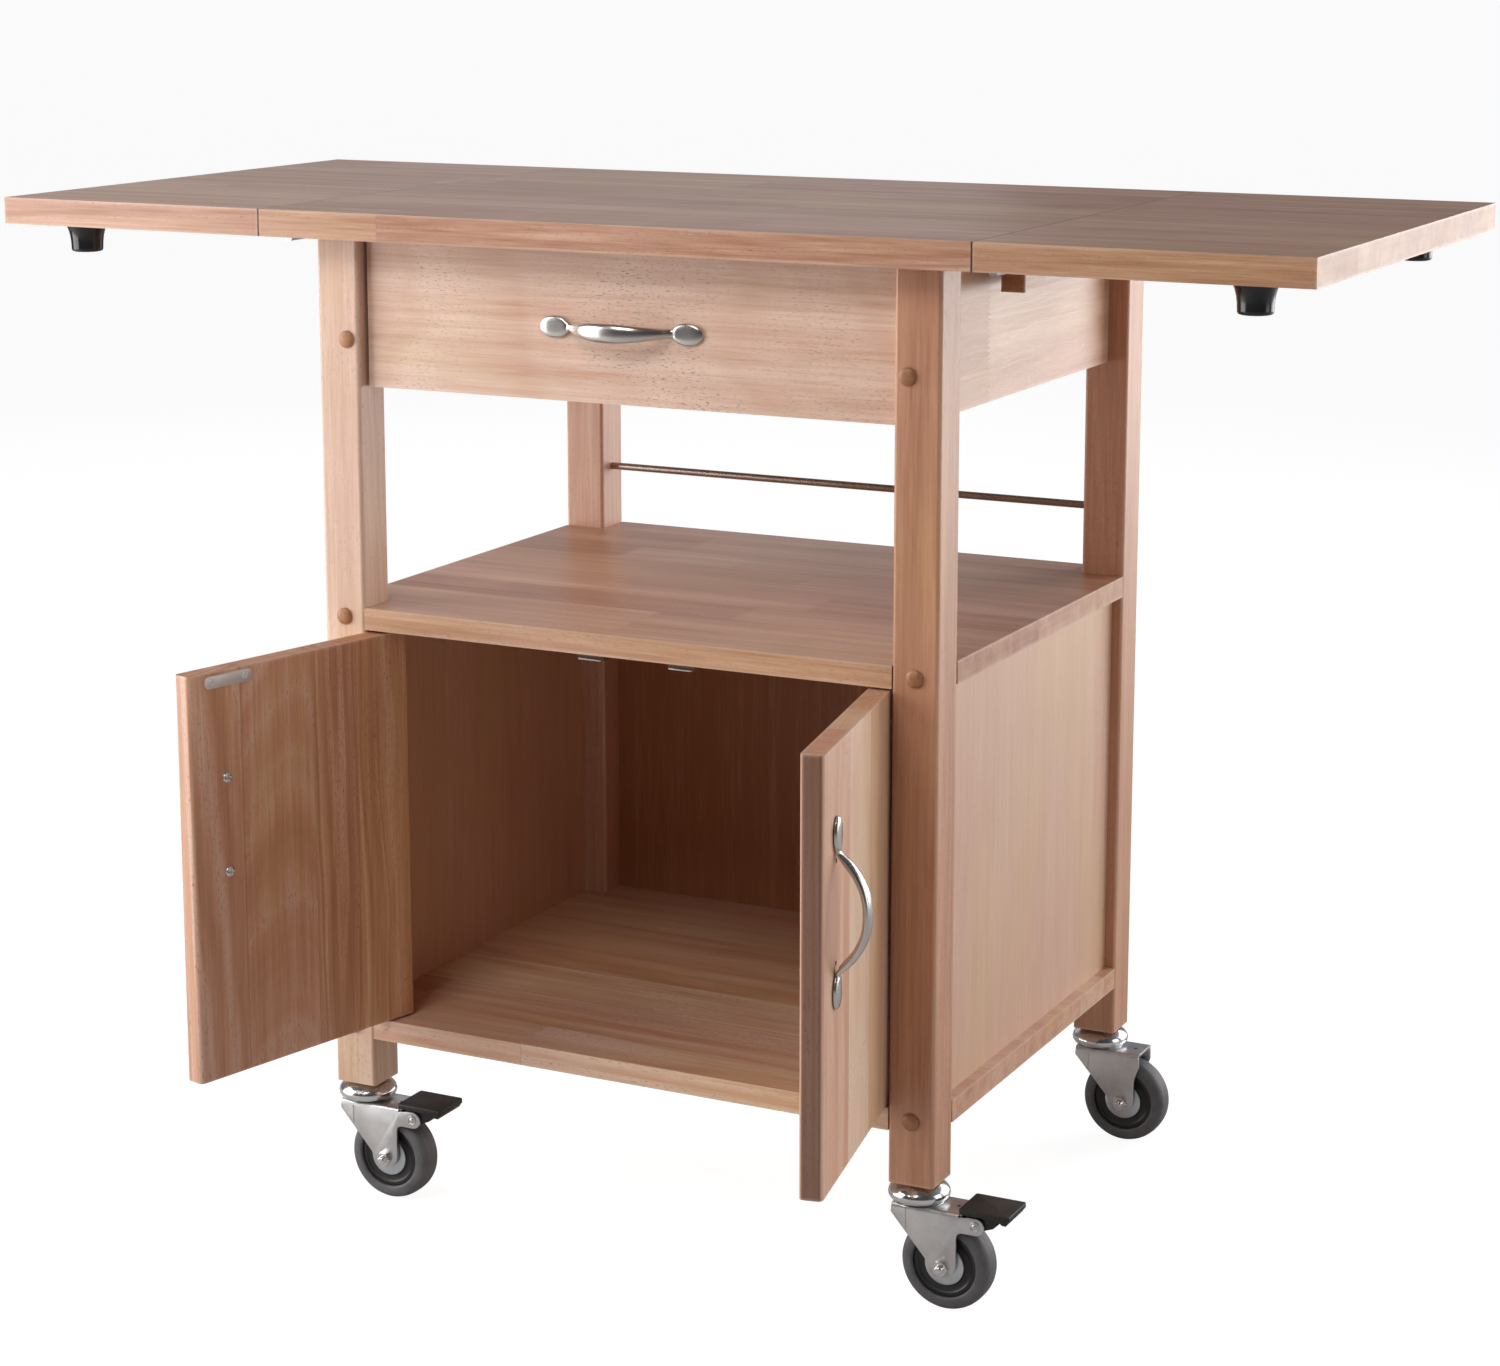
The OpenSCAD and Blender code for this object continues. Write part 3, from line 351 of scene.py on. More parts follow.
# what each board is cut from; anything not named here is as in woodFinish
woodPieces = {
    "tabletop": {"seed": 4.0, "tone": 0.37, "rough": 0.36, "streaks": 0.42, "fibres": 0.34, "boards": 0.15},
    "leaf_left": {"seed": 7.0, "tone": 0.40, "rough": 0.36, "streaks": 0.42, "fibres": 0.34, "boards": 0.15},
    "leaf_right": {"seed": 11.0, "tone": 0.36, "rough": 0.36, "streaks": 0.42, "fibres": 0.34, "boards": 0.15},
    "middle_shelf": {"seed": 15.0, "phase": 0.1, "tone": 0.38, "rough": 0.38, "streaks": 0.36},
    "bottom_shelf": {"seed": 18.0, "phase": 0.6, "tone": 0.62, "middle": (0.61, 0.36, 0.23), "rough": 0.42,
                     "streaks": 0.36},
    "leg_front_left": {"axes": "ZXY", "seed": 21.0, "staveWidth": 2.0, "tone": 0.64, "streaks": 0.26},
    "leg_front_right": {"axes": "ZXY", "seed": 24.0, "staveWidth": 2.0, "tone": 0.36, "streaks": 0.30,
                        "middle": (0.60, 0.335, 0.205), "light": (0.76, 0.53, 0.38)},
    "leg_rear_left": {"axes": "ZXY", "seed": 27.0, "staveWidth": 2.0, "tone": 0.48},
    "leg_rear_right": {"axes": "ZXY", "seed": 31.0, "staveWidth": 2.0, "tone": 0.40, "streaks": 0.28,
                       "middle": (0.60, 0.335, 0.205)},
    "side_aprons": {"axes": "YZX", "seed": 35.0, "staveWidth": 2.0, "tone": 0.42, "pores": 0.2, "mirrored": True},
    "rear_apron": {"axes": "XZY", "seed": 38.0, "staveWidth": 2.0},
    "side_panels": {"axes": "ZYX", "seed": 41.0, "staveWidth": 2.0, "tone": 0.54, "rings": 0.05, "streaks": 0.09,
                    "fibres": 0.17, "pores": 0.2, "mirrored": True, "edges": 0.0, "seams": 0.0},
    # painted shade: the back panel's tone is set very low so its wood stands in for the shade inside the cabinet
    "back_panel": {"axes": "ZXY", "seed": 44.0, "staveWidth": 2.0, "tone": 0.12, "rings": 0.08, "streaks": 0.20,
                   "edges": 0.0, "seams": 0.0},
    "drawer_runners": {"axes": "YXZ", "seed": 47.0, "staveWidth": 2.0, "coat": 0.0, "rough": 0.6, "edges": 0.0},
    "drawer_front": {"axes": "XZY", "seed": 53.0, "staveWidth": 2.0, "tone": 0.64, "rings": 0.32, "streaks": 0.34,
                     "pores": 0.80},
    "drawer_sides": {"axes": "YZX", "seed": 56.0, "staveWidth": 2.0, "coat": 0.1, "mirrored": True},
    "drawer_back": {"axes": "XZY", "seed": 59.0, "staveWidth": 2.0, "coat": 0.1},
    "drawer_bottom": {"axes": "XYZ", "seed": 62.0, "staveWidth": 2.0, "coat": 0.1, "edges": 0.0},
    "support_left": {"axes": "YXZ", "seed": 65.0, "staveWidth": 2.0, "tone": 0.35},
    "support_right": {"axes": "YXZ", "seed": 68.0, "staveWidth": 2.0, "tone": 0.35},
    "door_left": {"axes": "ZXY", "seed": 72.0, "staveWidth": 62 * mm, "centre": doorPivot["left"],
                  "turn": -doorTurn["left"], "tone": 0.46, "boards": 0.2, "rings": 0.36, "streaks": 0.26,
                  "pores": 0.8, "middle": (0.60, 0.335, 0.205)},
    # painted shade on the right door: its narrow side faces are tinted darker
    "door_right": {"axes": "ZXY", "seed": 77.0, "staveWidth": 62 * mm, "centre": doorPivot["right"],
                   "turn": doorTurn["right"], "tone": 0.66, "boards": 0.42, "rings": 0.22, "streaks": 0.22,
                   "middle": (0.64, 0.37, 0.23), "dark": (0.42, 0.20, 0.10), "paintedSideShade": (0.36, 0.28, 0.24)},
}
hingeLine = abs(joints["left_leaf_fold"]["pos_m"][0])
for name in ("tabletop", "leaf_left", "leaf_right"):
    woodPieces[name]["gapAt"] = hingeLine
gluedUp = ("tabletop", "leaf_left", "leaf_right", "middle_shelf", "bottom_shelf")
for name, plan in woodPieces.items():
    if name not in gluedUp:
        plan["staveLength"] = 60.0  # so long that no end joint shows


def dress(node, material):
    slots = nodes[node].material_slots
    if not slots:
        nodes[node].data.materials.append(material)
    for slot in nodes[node].material_slots:
        slot.material = material


for node, plan in woodPieces.items():
    dress(node, woodMaterial("wood_" + node, plan, node))
print("wood dressed:", len(woodPieces), "pieces")


# metal, plastic and rubber

metalGrain = {"plain": 260.0, "acrossLines": 2400.0, "alongLines": 50.0, "patches": 34, "grime": 120}


def metalMaterial(name, base, rough, lines=None, mottle=0.10, dirt=0.12, depth=0.03, metal=1.0, swing=0.22):
    material, tree, shader = newMaterial(name)
    place, axes, _ = objectPlace(tree)
    # the brushing is noise drawn out on two of the directions; with no lines it is even all round
    brushed = {a: metalGrain["acrossLines" if a == lines else "alongLines"] for a in "XYZ"}
    scales = [metalGrain["plain"] if lines is None else brushed[a] for a in "XYZ"]
    brushing = grained(tree, axes, scales, 4, 0.6)
    patches = noise(tree, place, metalGrain["patches"], 3, 0.6)
    grime = spread(tree, noise(tree, place, metalGrain["grime"], 4, 0.7), 0.52, 0.72)
    tone = spread(tree, patches, 0.3, 0.7, 1 - mottle, 1 + mottle, "LINEAR")
    colour = tinted(tree, base, triple(tree, tone, tone, tone))
    colour = blendColour(tree, calc(tree, "MULTIPLY", grime, dirt), colour, (0.10, 0.085, 0.07))
    tree.links.new(colour, shader.inputs["Base Color"])
    shader.inputs["Metallic"].default_value = metal
    sheen = sway(tree, rough, brushing, swing)
    sheen = sway(tree, sheen, patches, 0.12)
    tree.links.new(calc(tree, "MULTIPLY_ADD", grime, min(0.15, dirt), sheen), shader.inputs["Roughness"])
    bump(tree, shader, brushing, 0.5, depth * mm)
    return material


def plasticMaterial(name, base, rough, dust=0.2, grain=900, depth=0.05):
    material, tree, shader = newMaterial(name)
    place, _, facing = objectPlace(tree)
    fine = noise(tree, place, grain, 3, 0.6)
    patches = noise(tree, place, 45, 3, 0.6)
    # dust settles in patches on the faces that look up
    settled = calc(tree, "MULTIPLY", spread(tree, facing[2], 0.2, 0.95), spread(tree, patches, 0.35, 0.7))
    colour = blendColour(tree, spread(tree, fine, 0.3, 0.7, 0.0, 0.35), base, tuple(1.5 * x for x in base))
    colour = blendColour(tree, calc(tree, "MULTIPLY", settled, dust), colour, (0.30, 0.27, 0.24))
    tree.links.new(colour, shader.inputs["Base Color"])
    sheen = sway(tree, rough, fine, 0.2)
    tree.links.new(calc(tree, "MULTIPLY_ADD", settled, 0.2, sheen), shader.inputs["Roughness"])
    bump(tree, shader, fine, 0.4, depth * mm)
    return material


finishes = {
    "pullAcross": metalMaterial("brushedNickelAcross", (0.60, 0.575, 0.55), 0.25, lines="X", mottle=0.03, dirt=0.0,
                                depth=0.0015, swing=0.10),
    "pullUp": metalMaterial("brushedNickelUp", (0.60, 0.575, 0.55), 0.25, lines="Z", mottle=0.03, dirt=0.0,
                            depth=0.0015, swing=0.10),
    "bright": metalMaterial("brightZinc", (0.72, 0.73, 0.74), 0.18, mottle=0.08, dirt=0.15),
    "zinc": metalMaterial("zincPlate", (0.62, 0.62, 0.63), 0.34, mottle=0.12, dirt=0.15, depth=0.05),
    "disc": metalMaterial("blueZinc", (0.62, 0.68, 0.72), 0.36, mottle=0.10, dirt=0.10, depth=0.05),
    "screw": metalMaterial("screwSteel", (0.66, 0.66, 0.65), 0.26, mottle=0.06, dirt=0.12, metal=0.75),
    "strike": metalMaterial("strikePlate", (0.64, 0.65, 0.655), 0.34, lines="Z", mottle=0.05, dirt=0.04,
                            depth=0.004, metal=0.45),
    "rod": metalMaterial("darkSteel", (0.40, 0.33, 0.30), 0.26, lines="Z", mottle=0.03, dirt=0.0, depth=0.0002,
                         swing=0.03),
    "black": plasticMaterial("blackPlastic", (0.008, 0.0075, 0.008), 0.44, dust=0.05),
    "glossy": plasticMaterial("glossBumper", (0.008, 0.008, 0.009), 0.16, dust=0.10, depth=0.02),
    "hub": plasticMaterial("hubPlastic", (0.014, 0.014, 0.015), 0.42, dust=0.12),
    "brown": plasticMaterial("brownPlastic", (0.16, 0.085, 0.055), 0.40, dust=0.10),
}


def rubberMaterial(name, base):
    material, tree, shader = newMaterial(name)
    place, _, _ = objectPlace(tree)
    fine = noise(tree, place, 700, 4, 0.7)
    patches = noise(tree, place, 60, 4, 0.65)
    colour = blendColour(tree, spread(tree, patches, 0.3, 0.7), tuple(0.82 * x for x in base),
                         tuple(1.18 * x for x in base))
    scuffs = spread(tree, noise(tree, place, 210, 3, 0.7), 0.58, 0.74)
    colour = blendColour(tree, calc(tree, "MULTIPLY", scuffs, 0.28), colour, (0.23, 0.21, 0.20))
    tree.links.new(colour, shader.inputs["Base Color"])
    tree.links.new(spread(tree, patches, 0.3, 0.7, 0.48, 0.66, "LINEAR"), shader.inputs["Roughness"])
    bump(tree, shader, fine, 0.5, 0.10 * mm)
    return material


finishes["rubber"] = rubberMaterial("greyRubber", (0.108, 0.106, 0.114))
print("finishes made:", len(finishes))


# surfaces as arrays; every shape is (points in mm, faces)

def skin(points, closed=(True, False), caps=True):
    # a grid of rows and columns becomes four-sided faces; the second direction closes into rings, and flat end
    # rings are capped
    rows, columns = points.shape[:2]
    index = np.arange(rows * columns).reshape(rows, columns)
    up = np.roll(index, -1, 0) if closed[1] else index[1:]
    here = index if closed[1] else index[:-1]
    nextHere, nextUp = (np.roll(part, -1, 1) for part in (here, up))
    faces = np.stack([here, nextHere, nextUp, up], -1)
    if not closed[0]:
        faces = faces[:, :-1]
    faces = faces.reshape(-1, 4).tolist()
    if caps and not closed[1]:
        faces += [index[0][::-1].tolist(), index[-1].tolist()]
    return points.reshape(-1, 3), faces


def spin(profile, sides=48, ring=False):
    # each point (radius, height) of the profile goes once round the third axis
    profile = np.array(profile, float)
    angle = np.linspace(0, 2 * np.pi, sides, endpoint=False)
    radius, height = profile[:, :1], profile[:, 1:]
    points = np.stack([radius * np.cos(angle), radius * np.sin(angle), height + 0 * angle], -1)
    return skin(points, (True, ring), caps=not ring)


def rectangle(x0, y0, x1, y1):
    return [(x0, y0), (x1, y0), (x1, y1), (x0, y1)]


def softCorners(corners, radii, steps=6):
    # each corner of the outline becomes an arc that touches both of its sides
    corners = np.array(corners, float)
    radii = np.broadcast_to(np.array(radii, float), len(corners))
    before, after = np.roll(corners, 1, 0) - corners, np.roll(corners, -1, 0) - corners
    before /= np.linalg.norm(before, axis=1, keepdims=True)
    after /= np.linalg.norm(after, axis=1, keepdims=True)
    opening = np.arccos(np.clip((before * after).sum(1), -1, 1))
    middle = before + after
    middle /= np.maximum(np.linalg.norm(middle, axis=1, keepdims=True), 1e-9)
    centre = corners + middle * (radii / np.sin(opening / 2))[:, None]
    reach = (radii / np.tan(opening / 2))[:, None]
    start, end = corners + before * reach - centre, corners + after * reach - centre
    swing = np.pi - opening
    share = np.linspace(0, 1, steps)
    weightA = np.sin((1 - share) * swing[:, None]) / np.sin(swing)[:, None]
    weightB = np.sin(share * swing[:, None]) / np.sin(swing)[:, None]
    arcs = centre[:, None] + weightA[..., None] * start[:, None] + weightB[..., None] * end[:, None]
    return arcs.reshape(-1, 2)


def plate(outline, low, high, edge, steps=4):
    # the outline is carried from low to high, drawn in at both ends along a quarter circle of radius edge
    outline = np.array(outline, float)
    if np.sum(outline[:, 0] * np.roll(outline[:, 1], -1) - outline[:, 1] * np.roll(outline[:, 0], -1)) < 0:
        outline = outline[::-1]
    tangent = np.roll(outline, -1, 0) - np.roll(outline, 1, 0)
    inward = np.stack([-tangent[:, 1], tangent[:, 0]], -1)
    inward /= np.maximum(np.linalg.norm(inward, axis=1, keepdims=True), 1e-9)
    angle = np.linspace(0, np.pi / 2, steps)
    draw = edge * (1 - np.sin(angle))
    rise = edge * (1 - np.cos(angle))
    inset = np.concatenate([draw, draw[::-1]])
    level = np.concatenate([low + rise, (high - rise)[::-1]])
    points = outline[None] + inward[None] * inset[:, None, None]
    points = np.concatenate([points, np.broadcast_to(level[:, None, None], (*points.shape[:2], 1))], -1)
    return skin(points)


def put(shape, origin=(0, 0, 0), axes=((1, 0, 0), (0, 1, 0), (0, 0, 1))):
    # the shape's three own directions are laid along the given axes from the origin
    points, faces = shape
    return np.asarray(points) @ np.array(axes, float) + np.array(origin, float), faces


def lookingOut(s):
    # lays the shape's third direction to the back (s = 1) or to the front (s = -1)
    return (1, 0, 0), (0, 0, -s), (0, s, 0)


def makePiece(name, shapes, material, body, replaced=(), crease=32):
    # the shapes become one mesh in metres, with doubles merged and every face looking out
    points, faces, start = [], [], 0
    for shapePoints, shapeFaces in shapes:
        points.append(shapePoints)
        faces += [[i + start for i in face] for face in shapeFaces]
        start += len(shapePoints)
    points = np.concatenate(points) * mm
    mesh = bpy.data.meshes.new(name)
    mesh.from_pydata(points, [], faces)
    form = bmesh.new()
    form.from_mesh(mesh)
    bmesh.ops.remove_doubles(form, verts=form.verts, dist=1e-6)
    bmesh.ops.dissolve_degenerate(form, edges=form.edges, dist=1e-7)
    bmesh.ops.recalc_face_normals(form, faces=form.faces)
    form.to_mesh(mesh)
    form.free()
    mesh.shade_smooth()
    mesh.set_sharp_from_angle(angle=math.radians(crease))
    mesh.materials.append(material)
    piece = bpy.data.objects.new(name, mesh)
    bpy.context.scene.collection.objects.link(piece)
    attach(piece, body)
    if replaced:
        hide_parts(*replaced)
    return piece


def middleOf(node):
    low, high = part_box(node)
    return np.array((low + high) / 2) / mm


# bow pulls

pull = {"length": 144, "neck": 44, "footCentre": 58.5, "footWidth": 17.5, "neckWidth": 7.6, "bowWidth": 15.0,
        "rise": 23.6, "bowHalf": 3.5, "footDome": 3.2, "footBack": 0.8, "screwCentres": 76.2}


def bowPull():
    # stations run from tip to tip; at each the section is an oval whose width, front and back half-thickness and
    # height over the board are functions of the distance from the middle
    half = pull["length"] / 2
    station = half * np.sin(np.linspace(-np.pi / 2, np.pi / 2, 121))
    away = abs(station)
    overFoot = (away - pull["footCentre"]) / (half - pull["footCentre"])
    end = np.clip(overFoot, 0, 1)
    inBow = np.clip(away / pull["neck"], 0, 1)
    toFoot = np.clip((away - pull["neck"]) / 5.0, 0, 1)
    toFoot = toFoot * toFoot * (3 - 2 * toFoot)
    lens = pull["neckWidth"] + (pull["bowWidth"] - pull["neckWidth"]) * np.cos(inBow * np.pi / 2) ** 1.2
    oval = pull["footWidth"] * np.sqrt(np.clip(1 - overFoot ** 2, 0, 1))
    width = np.where(away > pull["footCentre"], oval, np.maximum(oval, lens))
    arch = (1 - inBow ** 2.3) ** 0.95
    reach = np.exp(-0.5 * (np.linspace(-2.2, 2.2, 9)) ** 2)
    arch = np.convolve(np.pad(arch, 4, mode="edge"), reach / reach.sum(), "valid")
    lift = pull["footBack"] + 0.15 + (pull["rise"] - pull["footBack"]) * arch
    thick = np.sqrt(np.clip(1 - end ** 4, 0, 1))
    bow = np.clip(arch * 3, 0, 1)
    front = (pull["footDome"] * (1 - bow) * (0.72 + 0.28 * toFoot) + pull["bowHalf"] * bow) * thick
    back = (pull["footBack"] * (1 - bow) + (pull["bowHalf"] - 0.3) * bow) * thick
    slope = np.gradient(lift, station)
    size = np.sqrt(1 + slope ** 2)
    outward = np.stack([0 * size, -1 / size, -slope / size], -1)
    around = np.linspace(0, 2 * np.pi, 36, endpoint=False)
    side = np.sign(np.cos(around)) * abs(np.cos(around)) ** 0.86
    over = np.sin(around)
    bulge = np.where(over > 0, abs(over) ** (0.95 - 0.50 * toFoot[:, None]), abs(over))
    height = np.where(over > 0, front[:, None], -back[:, None]) * bulge
    line = np.stack([0 * station, -lift, station], -1)
    points = line[:, None] + outward[:, None] * height[..., None]
    points[..., 0] += width[:, None] / 2 * side
    return skin(points)


def panScrew(radius, height):
    # a domed head on a grid of rings, pressed in where a cross of two bars lies
    ring = np.concatenate([np.linspace(0, 0.92, 12), [0.97, 1.0]]) * radius
    angle = np.linspace(0, 2 * np.pi, 56, endpoint=False)
    x, y = ring[:, None] * np.cos(angle), ring[:, None] * np.sin(angle)
    hump = np.clip(1 - 0.55 * (ring / radius) ** 2 - 0.35 * (ring / radius) ** 12, 0, 1)
    dome = height * np.sqrt(hump)[:, None] + 0 * x
    bar = np.minimum(np.maximum(abs(x) / (0.13 * radius), abs(y) / (0.52 * radius)),
                     np.maximum(abs(y) / (0.13 * radius), abs(x) / (0.52 * radius)))
    dome -= 0.55 * height * np.clip(1.6 - 1.0 * bar, 0, 1) * (bar < 1.6)
    head = np.concatenate([np.stack([x, y, dome], -1), np.stack([x[-1:], y[-1:], 0 * x[-1:]], -1)])
    return skin(head)


# pieces on the doors are drawn from the pivot: first axis along the door, second through it to the cabinet
def doorAxes(side):
    angle = math.radians(-doorTurn["left"] if side == "left" else doorTurn["right"])
    along = np.array([math.cos(angle), math.sin(angle), 0]) * (1 if side == "left" else -1)
    through = np.array([-math.sin(angle), math.cos(angle), 0])
    return np.array([doorPivot[side][0], doorPivot[side][1], 0]) / mm, along, through


door = {"thickness": 18, "screwHead": 4.4, "screwRise": 2.4}
strike = {"half": (24, 5), "corner": 4.6, "thickness": 1.0, "edge": 0.3, "screwHead": 3.2, "screwRise": 0.9,
          "screwAt": 16.8}
drawer = {"frontThickness": 18}

for side in ("left", "right"):
    origin, along, through = doorAxes(side)
    pullMiddle = middleOf("door_%s_pull" % side) - origin
    pullAlong, pullHeight = float(pullMiddle @ along), float(pullMiddle[2])
    base = origin + along * pullAlong - through * door["thickness"] / 2 + np.array([0, 0, pullHeight])
    makePiece(side + "DoorPull", [put(bowPull(), base, (along, through, (0, 0, 1)))], finishes["pullUp"],
              side + "_door", ["door_%s_pull" % side])
    inner = origin + along * pullAlong + through * door["thickness"] / 2
    spots = [inner + np.array([0, 0, pullHeight + s * pull["screwCentres"] / 2]) for s in (-1, 1)]
    heads = [put(panScrew(door["screwHead"], door["screwRise"]), spot, ((0, 0, 1), along, through))
             for spot in spots]
    makePiece(side + "DoorPullScrews", heads, finishes["screw"], side + "_door",
              ["door_%s_pull_screws" % side])

    strikeMiddle = middleOf("door_%s_strike" % side) - origin
    strikeAlong, strikeHeight = float(strikeMiddle @ along), float(strikeMiddle[2])
    face = origin + along * strikeAlong + through * door["thickness"] / 2 + np.array([0, 0, strikeHeight])
    wide, tall = strike["half"]
    outline = softCorners(rectangle(-wide, -tall, wide, tall), strike["corner"], 8)
    bits = [put(plate(outline, 0, strike["thickness"], strike["edge"]), face, (along, (0, 0, 1), through))]
    for s in (-1, 1):
        at = face + along * s * strike["screwAt"] + through * strike["thickness"]
        bits.append(put(panScrew(strike["screwHead"], strike["screwRise"]), at, ((0, 0, 1), along, through)))
    makePiece(side + "DoorStrike", bits, finishes["strike"], side + "_door",
              ["door_%s_strike" % side])

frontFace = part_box("drawer_front")[0][1] / mm
drawerPull = middleOf("drawer_pull")
lyingPull = put(bowPull(), (drawerPull[0], frontFace, drawerPull[2]), ((0, 0, -1), (0, 1, 0), (1, 0, 0)))
makePiece("drawerPull", [lyingPull], finishes["pullAcross"], "drawer", ["drawer_pull"])
backFace = frontFace + drawer["frontThickness"]
spots = [(drawerPull[0] + s * pull["screwCentres"] / 2, backFace, drawerPull[2]) for s in (-1, 1)]
heads = [put(panScrew(door["screwHead"], door["screwRise"]), spot, lookingOut(1)) for spot in spots]
makePiece("drawerPullScrews", heads, finishes["screw"], "drawer", ["drawer_pull_screws"])
print("pulls, screws and strikes made")


# plugs, bumpers and catches

plug = {"apart": 12,
        "profile": [(0, -1.5), (4.9, -1.5), (6.5, -0.2), (6.95, 0.3), (7.0, 0.9), (6.85, 1.5), (6.3, 2.2),
                    (5.2, 2.75), (3.6, 3.15), (1.8, 3.35), (0, 3.4)]}
legFront = abs(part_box("leg_front_right")[0][1]) / mm


def plugPlaces():
    # the middle of the outermost points of each plug in the CAD node, front and back taken together
    points = nodePoints("wood_plugs") / mm
    tips = points[abs(points[:, 1]) > abs(points[:, 1]).max() - 0.02][:, [0, 2]]
    _, firsts, group = np.unique(np.round(tips / plug["apart"]), axis=0, return_index=True, return_inverse=True)
    group = group.ravel()
    means = np.stack([np.bincount(group, tips[:, k]) for k in (0, 1)], -1) / np.bincount(group)[:, None]
    return means[np.argsort(firsts)]


plugSpots = plugPlaces()
print("plugs at", [(round(float(x)), round(float(z))) for x, z in plugSpots])
shapes = []
for x, z in plugSpots:
    for s in (-1, 1):
        shapes.append(put(spin(plug["profile"], 36), (x, s * legFront, z), lookingOut(s)))
plugPlan = {"axes": "YXZ", "seed": 83.0, "staveWidth": 30 * mm, "staveLength": 60.0, "tone": 0.34, "seams": 0.0,
            "edges": 0.0, "rough": 0.34, "dark": (0.36, 0.17, 0.08), "middle": (0.52, 0.29, 0.16),
            "light": (0.66, 0.42, 0.27)}
plugWood = woodMaterial("wood_plugs", plugPlan, "wood_plugs")
makePiece("plugButtons", shapes, plugWood, "frame", ["wood_plugs"], crease=60)

bumper = {"profile": [(0, 0), (10.5, 0), (12.2, 0.5), (13.0, 1.6), (13.1, 3.2), (13.3, 8), (13.9, 13), (15.0, 17.5),
                      (16.4, 21), (17.6, 23), (18, 24), (0, 24)]}
for side in ("left", "right"):
    low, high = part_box("leaf_%s_bumpers" % side)
    x = (low[0] + high[0]) / 2 / mm
    radius = (high[0] - low[0]) / 2 / mm
    shapes = [put(spin(bumper["profile"], 56), (x, y, low[2] / mm))
              for y in (low[1] / mm + radius, high[1] / mm - radius)]
    makePiece(side + "LeafBumpers", shapes, finishes["glossy"], side + "_leaf",
              ["leaf_%s_bumpers" % side], crease=50)

catch = {"width": 24, "setBack": 1.5, "lift": 1.0, "corner": 2.0, "bodyEdge": 1.2, "plateInset": 1.5,
         "plateDepth": 9, "plateThickness": 1.4, "plateEdge": 0.25, "firstPlate": 2.2, "plateGap": 9.0}
low, high = (np.array(corner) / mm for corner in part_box("magnetic_catches"))
housings, plates = [], []
for s in (-1, 1):
    x0, x1 = sorted((s * (high[0] - catch["width"]), s * high[0]))
    outline = softCorners(rectangle(x0, low[1] + catch["setBack"], x1, high[1]), catch["corner"])
    housings.append(plate(outline, low[2] + catch["lift"], high[2], catch["bodyEdge"]))
    x0, x1 = x0 + catch["plateInset"], x1 - catch["plateInset"]
    bar = softCorners(rectangle(x0, low[1], x1, low[1] + catch["plateDepth"]), 0.8)
    for z in (low[2] + catch["firstPlate"], low[2] + catch["firstPlate"] + catch["plateGap"]):
        plates.append(plate(bar, z - catch["plateThickness"] / 2, z + catch["plateThickness"] / 2,
                            catch["plateEdge"]))
makePiece("catchBodies", housings, finishes["brown"], "frame", ["magnetic_catches"])
makePiece("catchPlates", plates, finishes["zinc"], "frame")
print("plugs, bumpers and catches made")


# casters, drawn with the stem at the middle and the wheel trailing to the right

caster = {
    "trail": 26, "axle": 37.5, "crown": 81.2, "sheet": 2.5, "cheekInner": 14.0, "rivet": (53.5, 76.0),
    "nose": -17, "tail": 16, "bend": 2.6, "bendInside": 0.1, "boltRadius": 4, "rivetRadius": 2.5, "boreAt": 33.5,
    "housing": [(0, 78.2), (8, 78.2), (8, 80.9), (5, 80.9), (5, 84.0), (17.4, 84.0), (17.8, 84.4), (18.6, 84.8),
                (20.6, 85.3), (22.9, 86.6), (24.2, 88.6), (24.5, 90.8), (23.9, 93.2), (22.3, 95.4), (19.8, 97.4),
                (17.0, 98.9), (15.2, 99.9), (14.2, 100.9), (9, 101), (4, 101), (4, 136), (0, 136)],
    "tyre": [(26.5, -9.4), (26.6, -11.0), (27.3, -11.7), (28.4, -12.0), (30.4, -11.9), (31.2, -11.75),
             (32.6, -11.5), (34.2, -10.8), (35.6, -9.6), (36.6, -8.0), (37.2, -6.0), (37.42, -3.6), (37.36, -3.3),
             (37.46, -3.0), (37.5, 0)],
    "hub": [(4.05, -13.7), (7.0, -13.7), (7.0, -10.4), (16.4, -10.2), (16.6, -9.4), (17.4, -8.7), (21.6, -8.5),
            (22.4, -8.9), (23.2, -9.5), (25.6, -9.6), (26.5, -9.2)],
    "collar": [(20.0, 0), (20.4, 0.3), (20.0, 0.75), (12, 0.75), (12, 0)],
    "rivetHead": [(0, 1.3), (1.2, 1.25), (2.1, 0.75), (2.3, 0.35), (2.9, 0.35), (3.4, 0.9), (3.9, 0.8), (4.2, 0.3),
                  (4.2, -0.3), (0, -0.3)],
    "crease": [(-5.6, 64), (-4.4, 63), (-4.4, 80), (-5.6, 80)],
    "bore": [(0, -0.4), (1.7, -0.4), (1.7, 0.06), (1.2, 0.1), (0, 0.1)],
    "disc": [(7.1, -11.0), (7.1, -11.6), (11.0, -11.7), (12.2, -11.4), (14.6, -11.3), (15.7, -11.0), (16.3, -10.6),
             (16.3, -10.1)],
}

pedal = {"hubRadius": 7, "aboveRivet": 8.6, "behindRivet": 13, "length": 42, "half": 18.5, "thickness": 4.5,
         "clear": 0.4, "lipHalf": 17.6}
onEdge = ((1, 0, 0), (0, 0, 1), (0, 1, 0))  # an outline that stands in the wheel's plane


def mirroredRing(profile):
    # half a section and its mirror image about height 0, joined into one ring
    profile = np.array(profile, float)
    other = profile[::-1] * (1, -1)
    return np.concatenate([profile, other[abs(other[:, 1]) > 1e-9]])


